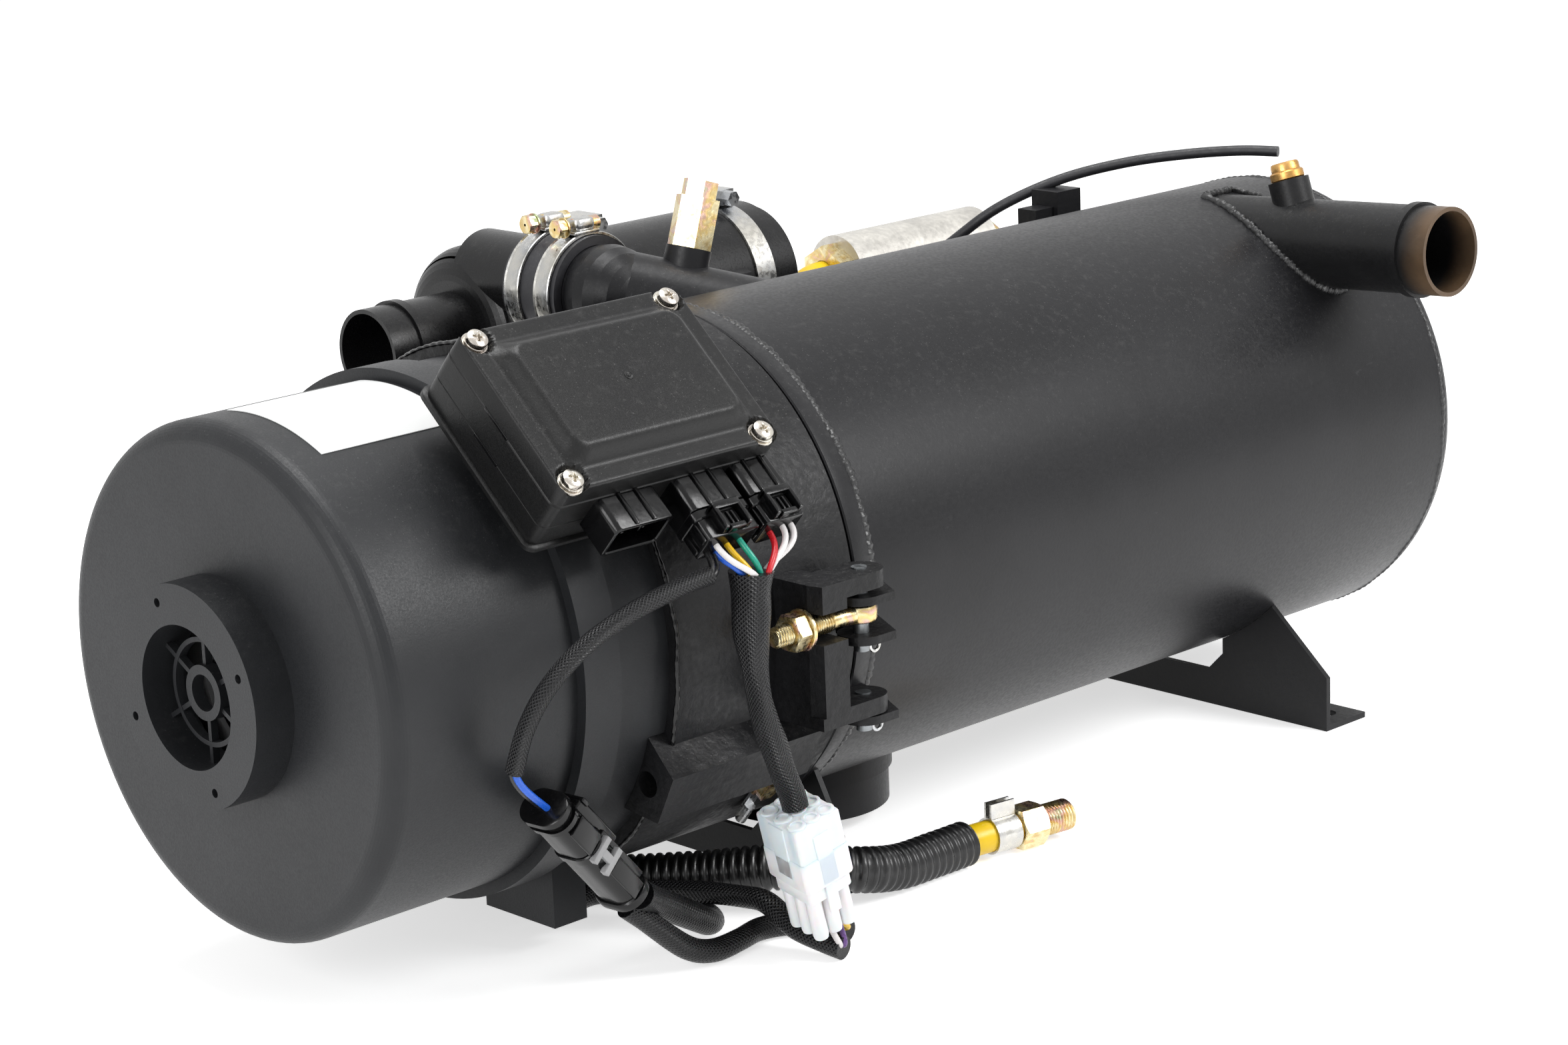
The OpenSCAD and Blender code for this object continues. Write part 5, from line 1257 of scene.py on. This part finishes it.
@dataclass
class Harness:
    """Sleeves, bare wires and the two connector pairs."""

    wide: tuple = (
        (-79, -130, 35), (-80, -130, 18), (-79.5, -130, 3), (-78, -130, -9), (-75, -129, -20),
        (-70, -128, -31), (-66, -127.5, -42), (-62, -128, -52), (-60.5, -128.5, -58.5)
    )
    wide_r: tuple = (8.4, 7.6, 6.8, 5.6, 5, 5.2, 5.8, 5.6, 5)
    thin: tuple = (
        (-100, -131, 38), (-118, -132, 37), (-137, -131, 33), (-154, -127, 25), (-167, -121, 12),
        (-173, -114, -4), (-174, -108, -20)
    )
    thin_r: float = 3.4
    two_top: tuple = (-158, -103, -38)
    two_end: tuple = (-119, -99, -82)
    pair_l: float = 58.9
    nine_top: tuple = (-60.5, -129, -59)
    nine_end: tuple = (-46, -126, -108)
    near: tuple = (
        (-114, -94, -90), (-100, -96, -103), (-88, -97, -113), (-76, -98, -117.2), (-62, -97, -117.2),
        (-50, -95, -117.2), (-38, -99, -117.2), (-31, -108, -117.2), (-29, -121, -117.2)
    )
    back: tuple = (
        (-113, -100, -84), (-98, -93, -93), (-80, -88, -104), (-64, -82, -113), (-55, -70, -116.2),
        (-59, -52, -115), (-70, -34, -110), (-82, -24.5, -106.6), (-92.6, -24, -106.5)
    )
    cross: tuple = (
        (-43, -133, -117.4), (-45, -122, -116), (-47, -111, -113), (-49, -99, -106), (-51, -88, -105.5),
        (-58, -70, -106), (-69, -52, -107), (-82, -39.5, -107), (-92.6, -39, -107)
    )

    def sleeve(self, route: Sequence, radii: object, n: int, folds: float) -> tuple:
        """A woven sleeve: a tube whose radius dents in two slow waves round and along it.

        Args:
            route: points to follow.
            radii: radius at each point, or one radius.
            n: sides.
            folds: depth of the dents as a share of the radius.

        Returns:
            The surface and the ring centres.
        """
        path = evenly(spline(route), 1.6)
        run = np.linspace(0, 1, len(path))
        r = np.interp(run, np.linspace(0, 1, len(np.atleast_1d(radii))), np.atleast_1d(radii))
        a = turns(n)
        turn = run[:, None]
        dent = np.sin(
            2 * a[None] + 5 * turn * math.pi
        ) * 0.7 + np.sin(3 * a[None] - 9 * turn * math.pi) * 0.3
        fade = np.clip(np.minimum(run, 1 - run) * 12, 0, 1)[:, None]
        grid = tube(path, r[:, None] * (1 - folds * (0.5 + 0.5 * dent) * fade), n)
        return skin(grid), path

    def lead(
        self, start: Sequence, leave: Sequence, enter: Sequence, end: Sequence, r: float = 1.15
    ) -> Skin:
        """One bare wire on a cubic whose inner points lie on its leaving and entering lines."""
        p = [np.array(start, float), np.add(start, leave), np.subtract(end, enter), np.array(end, float)]
        t = np.linspace(0, 1, 22)[:, None]
        path = (1 - t) ** 3 * p[0] + 3 * (1 - t) ** 2 * t * p[1] + 3 * (1 - t) * t**2 * p[2] + t**3 * p[3]
        return skin(tube(path, r, 12))

    def leads(self) -> dict:
        """All bare wires by colour: from the plugs to the sleeves and at the two pairs."""
        out = (0, -7.4, -6.7)
        down = (0, 0, -8)
        mid, right = (-86.6, -125.6, 45.6), (-61.6, -125.6, 45.6)
        near = self.wide[0]

        def top(base: tuple, dx: float, dz: float, ex: float, ey: float, more: float = 1.0) -> Skin:
            """A wire from a plug into the wide sleeve's mouth."""
            start = (base[0] + dx, base[1] - 0.67 * dz, base[2] + 0.74 * dz)
            return self.lead(
                start, tuple(more * v for v in out), down, (near[0] + ex, near[1] + ey, near[2] - 5)
            )

        made = {
            "white": [
                top(mid, -6.5, 2.5, -1, -5.4, 1.3), top(right, 0.5, 3.0, 4.6, -3.2),
                top(right, 5, 2.6, 5.6, 0.5, 1.2)
            ],
            "yellow": [top(mid, -0.5, 1.0, -3, -5.0)],
            "teal": [top(mid, 5.0, 2.0, 1.5, -3.8)],
            "red": [top(right, -4.5, 1.0, 2.4, -5.4)],
            "blue": [top(mid, -3.8, -2.5, -4.4, -2.4, 0.7)],
            "black": [top(mid, 2.5, -3.0, -4.6, 0.8, 0.7)],
            "violet": [],
        }
        start = (mid[0] - 8.5, mid[1] + 1, mid[2] - 1)
        thin_in = (self.thin[0][0] - 5, self.thin[0][1], self.thin[0][2] - 0.3)
        for shift, sink in (((0, 0, 0), (0, 0, 0)), ((3, 0, -2), (0, 1, -1.6))):
            made["black"].append(
                self.lead(np.add(start, shift), (-1, -6, -5), (-7, 0, 0), np.add(thin_in, sink))
            )
        low = (self.thin[-1][0], self.thin[-1][1] + 0.5, self.thin[-1][2] + 3)
        axis = np.subtract(self.two_end, self.two_top) / self.pair_l
        for name, dy in (("blue", -2.2), ("black", 2.2)):
            end = np.add(self.two_top, 3 * axis + (0, dy, 0))
            made[name].append(self.lead(np.add(low, (0, dy * 0.5, 0)), (0, 3, -9), 8 * axis, end, 1.3))
        foot, cross, near = self.nine_end, self.cross[0], self.near[-1]
        for name, at, leave, enter, end in (
            ("violet", (3.5, -4, 3), (1, 0, -7), (1, 9, 1.5), np.add(cross, (0.5, 4, 1.2))),
            ("yellow", (6, 1, 3), (2, 0, -7), (-6, 6, 0), np.add(near, (-3, 2, 1.2))),
            ("white", (-2, -5, 3), (0, 0, -6), (0, 8, 2), np.add(cross, (-0.8, 4, 1.4))),
        ):
            made[name].append(self.lead(np.add(foot, at), leave, enter, end))
        return made

    def two_pin(self) -> tuple:
        """The black pair in its own frame: stacked ovals with collars, a latch and a grey clip."""

        def oval(rows: Sequence) -> Skin:
            """Ovals of (z, half thickness, half width)."""
            return skin(rounded([(z, a, b, a - 0.1) for z, a, b in rows], 8, 3))

        plug = [
            oval([
                (0, 6.6, 9.6), (0.4, 7.3, 10.3), (2.4, 7.5, 10.5), (2.9, 7.0, 10.0), (3.1, 6.2, 8.8),
                (5.6, 6.2, 8.8), (5.8, 7.2, 10.2), (7.8, 7.2, 10.2), (8.2, 6.4, 9.4), (23.4, 6.4, 9.4),
                (23.6, 5.8, 8.9)
            ]),
            pad((-11.2, -4.8, 10), (-6.0, 4.8, 36), 1.2, 0.8),
            pad((-11.6, -5.6, 10), (-9.6, 5.6, 14), 0.6, 0.6),
            pad((-4.4, -10.4, 9.2), (4.4, -8.8, 22.8), 0.8, 0.5),
        ]
        socket = [
            oval([
                (23.9, 6.6, 9.6), (24.3, 7.1, 10.1), (27.2, 7.1, 10.1), (27.5, 6.6, 9.7), (54.6, 6.6, 9.7),
                (55.0, 7.6, 10.7), (55.6, 8.0, 11.0), (58.0, 8.0, 11.0), (58.7, 7.0, 10.0), (58.9, 5.0, 8.0)
            ]),
            pad((-7.6, 5.4, 25), (-4.8, 7.4, 54), 0.4, 0.3),
            pad((-7.6, -7.4, 25), (-4.8, -5.4, 54), 0.4, 0.3),
            pad((-3.4, -10.6, 36), (3.4, -9.2, 54), 0.5, 0.4),
        ]
        clip = [
            pad((-5.6, -11.3, lo), (5.2, -8.6, hi), 0.3, 0.3) for lo, hi in ((24.6, 27.2), (32.4, 35.2))
        ]
        clip.append(pad((-1.6, -11.2, 26.5), (1.6, -8.6, 33), 0.3, 0.3))
        return joined(plug), joined(socket), joined(clip)

    def nine_pin(self) -> tuple:
        """The milky pair in its own frame: a block of round chambers, and the mated half below."""
        plug = [
            pad((-10.4, -12.4, 0.8), (10.4, 12.4, 17), 1.4, 0.8),
            pad((-10.9, -12.9, 15), (10.9, 12.9, 28.4), 2.2, 1.2)
        ]
        rows = [(2.4, 4), (2.4, 0.05), (2.9, 0), (3.5, 0.2), (3.7, 0.8), (3.7, 16), (2.4, 16), (2.4, 4.1)]
        wall = revolve(rows, 24)
        for x in (-6.6, 0, 6.6):
            for y in (-8.3, 0, 8.3):
                plug.append(skin(wall + (x, y, 0), caps=False))
        for s in (-1, 1):
            plug.append(pad((-3.6, s * 12.3 - 0.65, 6), (3.6, s * 12.3 + 0.65, 27), 0.5, 0.4))
            plug.append(pad((s * 10.3 - 0.6, -4.5, 2), (s * 10.3 + 0.6, 4.5, 24), 0.5, 0.4))
        socket = [pad((-9.8, -10.8, 28.5), (9.8, 10.8, 34.5), 1.6, 0.9)]
        rows = [(2.9, 33), (3.0, 34), (3.0, 49.6), (2.7, 50.9), (2.1, 51.1), (2.0, 45), (0.2, 44.6)]
        leg = revolve(rows, 24)
        for x in (-6.4, 0, 6.4):
            for y in (-7, 0, 7):
                socket.append(skin(leg + (x, y, 0)))
        socket.append(pad((-2.4, -11.6, 26), (2.4, -10.2, 41), 0.4, 0.4))
        return joined(plug), joined(socket)

    def build(self, shop: Workshop) -> None:
        head = HEAD_BODY
        two, nine = along(self.two_top, self.two_end), along(self.nine_top, self.nine_end, 20)
        plug, socket, clip = (s.placed(two) for s in self.two_pin())
        two_a = shop.piece("pair_plug", plug, SHINY, head, ["two_pin_plug"])
        two_b = shop.piece("pair_socket", socket, SHINY, head, ["two_pin_socket"])
        two_c = shop.piece("pair_lock_clip", clip, CLIP, head)
        plug, socket = (s.placed(nine) for s in self.nine_pin())
        nine_a = shop.piece("nylon_plug", plug, MILKY, head, ["nine_pin_plug"])
        nine_b = shop.piece("nylon_socket", socket, MILKY, head, ["nine_pin_socket"])
        for k, (name, parts) in enumerate(self.leads().items()):
            shop.piece("wires_" + name, joined(parts), WIRES[name], head, ["wires"] if k == 0 else [])

        def declare(
            name: str, route: tuple, radii: object, finish: Finish, nodes: list,
            folds: float
        ) -> None:
            """One sleeve as a piece."""
            surface, path = self.sleeve(route, radii, 24, folds)
            made = shop.piece(name, surface, finish, head, nodes)

        declare(
            "wide_sleeve", self.wide, self.wide_r, SLEEVE, ["sleeve_a"],
            0.16
        )
        declare(
            "thin_sleeve", self.thin, self.thin_r, SLEEVE_THIN, ["sleeve_b"],
            0.04
        )
        declare(
            "near_floor_sleeve", self.near, 4.6, SLEEVE_THIN, ["floor_sleeves"], 0.08
        )
        declare("back_floor_sleeve", self.back, 5.6, SLEEVE_THIN, [], 0.08)
        declare("cross_floor_sleeve", self.cross, 4.5, SLEEVE_THIN, [], 0.08)


@dataclass
class FuelLine:
    """The yellow tube through its ribbed conduit, its threaded fitting, and the vent tube."""

    near: tuple = ((85.786, -100.062, -112.9), (64, -97, -112.9))
    covered: tuple = (
        (60, -97, -112.9), (42, -97, -112.7), (22, -97, -112), (2, -95, -108), (-18, -78, -105),
        (-38, -48, -109.5), (-58, -18, -112.6), (-76, 6, -112.8), (-83, 40, -112.9), (-68, 76, -112.9),
        (-38, 108, -112.9), (-20, 119, -112.9), (-4, 127, -112.9)
    )
    far: tuple = (
        (28, 140, -112.9), (64, 149, -112.9), (102, 155, -112.9), (140, 158, -112.9), (176, 158, -106),
        (202, 158, -86), (215, 158, -56), (215, 157, -22), (213, 156, 12), (217, 156, 42), (228, 156, 56),
        (242, 156, 58.5)
    )
    vent: tuple = (
        (267.4, 136, 58.5), (267.4, 124, 60), (272, 106, 73), (284, 86, 90), (304, 66, 102), (324, 44, 109),
        (339, 20, 113), (350, -2, 115), (357, -18, 115)
    )
    turn: float = 8.0
    tube_r: float = 6.5
    root_r: float = 8.1
    crest_r: float = 9.1
    bore_r: float = 7.1
    pitch: float = 3.9
    vent_r: float = 2.4
    fit_bore: float = 3.3
    fit_corner: float = 9.3
    fit_hex_h: float = 12.6
    fit_r: float = 6.5
    fit_end: float = 28.0
    fit_pitch: float = 1.5

    def lines(self) -> tuple:
        """The whole tube's line, and the stretch of it under the conduit."""
        whole = spline(self.near + self.covered + self.far)
        start = PER * len(self.near)
        return whole, whole[start : start + PER * (len(self.covered) - 1) + 1]

    def conduit(self) -> Skin:
        """Ribs: the radius goes from root to crest in a flattened cosine once each pitch, and
        both ends turn in to the bore."""
        path = evenly(self.lines()[1], self.pitch / PER)
        s = np.arange(len(path)) / PER
        wave = np.clip(0.5 + 0.75 * np.cos(2 * math.pi * s), 0, 1)
        r = self.root_r + (self.crest_r - self.root_r) * wave
        first, last = path[1] - path[0], path[-1] - path[-2]
        full = np.concatenate([[path[0] - first * 0.01], path[1:-1], [path[-1] + last * 0.01]])
        grid = tube(full, r, 28)
        mouth = [full[j] + (grid[j] - full[j]) * (self.bore_r / r[j]) for j in (0, -1)]
        deep = [mouth[0] + first * 5, mouth[1] - last * 5]
        return skin(np.concatenate([[deep[0], mouth[0]], grid, [mouth[1], deep[1]]]))

    def fitting(self) -> Skin:
        """The fuel fitting: a chamfered hexagon, a collar and a cut thread, open through."""
        b, h = self.fit_bore, self.fit_hex_h
        nut = hex_nut(b, self.fit_corner, h)
        rows = [
            (b, h - 0.2), (7.6, h - 0.2), (7.6, h + 0.3), (6.6, h + 0.6), (5.6, h + 1.6), (5.6, h + 2),
            (b, h + 2)
        ]
        collar = lathe([*rows, (b, h - 0.19)], 48, False, to_x)
        cut = thread(self.fit_r, h + 1.6, self.fit_end, self.fit_pitch, 40)
        mouth = cut[-1] * (0.6, 0.6, 1)
        deep = mouth - (0, 0, 6)
        parts = [nut.moved(to_x), collar, skin(to_x(np.concatenate([cut, [mouth], [deep]])))]
        return joined(parts).placed(swung(self.near[0], self.turn))

    def build(self, shop: Workshop) -> None:
        """Adds the conduit, the tube with its fitting, and the vent tube."""
        ribbed = shop.piece("ribbed_conduit", self.conduit(), RIBBED, ROOT_BODY, ["conduit"], 60)
        path = self.lines()[0][::-1]
        made = shop.piece("yellow_tube", skin(tube(path, self.tube_r, 24)), FUEL, ROOT_BODY, ["fuel_tube"])
        fitting = shop.piece(
            "fuel_fitting_threaded", self.fitting(), YELLOW_ZINC, replaces=["fuel_fitting"]
        )
        path = spline(self.vent)
        made = shop.piece("vent_hose", skin(tube(path, self.vent_r, 16)), RUBBER, ROOT_BODY, ["vent_tube"])


# ---------------------------------------------------------------- studio


@dataclass
class Studio:
    """The camera of the photograph, soft lamps, a white world and a pale floor."""

    eye: tuple = (-0.97869, -1.07782, 0.51178)
    azimuth: float = -43.453
    elevation: float = 14.617
    roll: float = -2.282
    lens: float = 86.89
    ambient: float = 0.34
    floor_lift: float = 0.62
    floor_half: float = 9.0
    floor_z: float = -0.0002
    film: float = 36.0
    aim: tuple = (0.05, 0.0, 0.1)
    lamps: tuple = (
        ("key", (0.9, -1.5, 1.35), 0.9, 30.0),
        ("side", (-2.2, -0.5, 1.0), 1.2, 26.0),
        ("top", (0.1, 0.2, 2.2), 1.2, 34.0),
    )

    def camera(self) -> None:
        """Sets the camera from its azimuth, elevation and roll."""
        az, el, roll = (math.radians(v) for v in (self.azimuth, self.elevation, self.roll))
        back = np.array([math.sin(az) * math.cos(el), -math.cos(az) * math.cos(el), math.sin(el)])
        right0 = np.array([math.cos(az), math.sin(az), 0.0])
        up0 = np.cross(back, right0)
        right = math.cos(roll) * right0 + math.sin(roll) * up0
        up = -math.sin(roll) * right0 + math.cos(roll) * up0
        lens = bpy.data.cameras.new("camera")
        lens.sensor_width, lens.lens, lens.clip_start, lens.clip_end = self.film, self.lens, 0.05, 60.0
        bpy.context.scene.camera = standing("camera", lens, (right, up, back, self.eye))

    def world(self) -> None:
        """White to the camera and in reflections, softer as ambient light."""
        world = bpy.data.worlds.new("studio")
        bpy.context.scene.world = world
        g = emptied(world)
        strength = g.span(g.seen(), 0.0, 1.0, self.ambient, 1.0)
        sky = g.add("Background", {"Color": WHITE, "Strength": strength}).outputs[0]
        g.add("OutputWorld", {0: sky})

    def floor(self) -> None:
        """A wide pale floor that shows white to the camera and keeps the shadow."""
        mesh = bpy.data.meshes.new("floor")
        half = self.floor_half
        corners = [(x * half, y * half, self.floor_z) for x, y in ((-1, -1), (1, -1), (1, 1), (-1, 1))]
        mesh.from_pydata(corners, [], [(0, 1, 2, 3)])
        made = standing("floor", mesh)
        material = bpy.data.materials.new("pale_floor")
        g = emptied(material)
        matt = g.add("BsdfDiffuse", {"Color": (0.9, 0.9, 0.9, 1)}).outputs[0]
        lift = g.times(g.seen(), self.floor_lift)
        glow = g.add("Emission", {"Color": WHITE, "Strength": lift}).outputs[0]
        both = g.add("AddShader", {0: matt, 1: glow}).outputs[0]
        g.add("OutputMaterial", {0: both})
        mesh.materials.append(material)

    def light(self) -> None:
        """Large square lamps aimed at the heater's middle."""
        for name, at, size, power in self.lamps:
            lamp = bpy.data.lights.new(name, "AREA")
            lamp.shape, lamp.size, lamp.energy = "SQUARE", size, power
            z = np.subtract(at, self.aim)
            z = z / np.linalg.norm(z)
            x = np.cross((0, 0, 1), z)
            x /= np.linalg.norm(x)
            standing(name, lamp, (x, np.cross(z, x), z, at))

    def build(self) -> None:
        """Sets the whole studio."""
        bpy.context.scene.view_settings.view_transform = "Standard"
        self.camera()
        self.world()
        self.floor()
        self.light()


def main() -> None:
    """Builds the studio, dresses the model and adds each sub-assembly's pieces."""
    logging.basicConfig(level=logging.INFO, format="%(name)s %(message)s")
    Studio().build()
    shop = Workshop()
    shop.dress()
    Harness().build(shop)
    FuelLine().build(shop)
    Exchanger().build(shop)
    BurnerHead().build(shop)
    ControlUnit().build(shop)
    near, far = Place((PIN_X, -PIN_Y, PIN_Z)), swung((PIN_X, PIN_Y, PIN_Z), FAR_TURN)
    SwingBolt(near, "near_swing_bolt", "near_swing_nut", "near_bolt", "near_nut").build(shop)
    SwingBolt(far, "far_swing_bolt", "far_swing_nut", "far_bolt", "far_nut").build(shop)


if __name__ == "__main__":
    main()
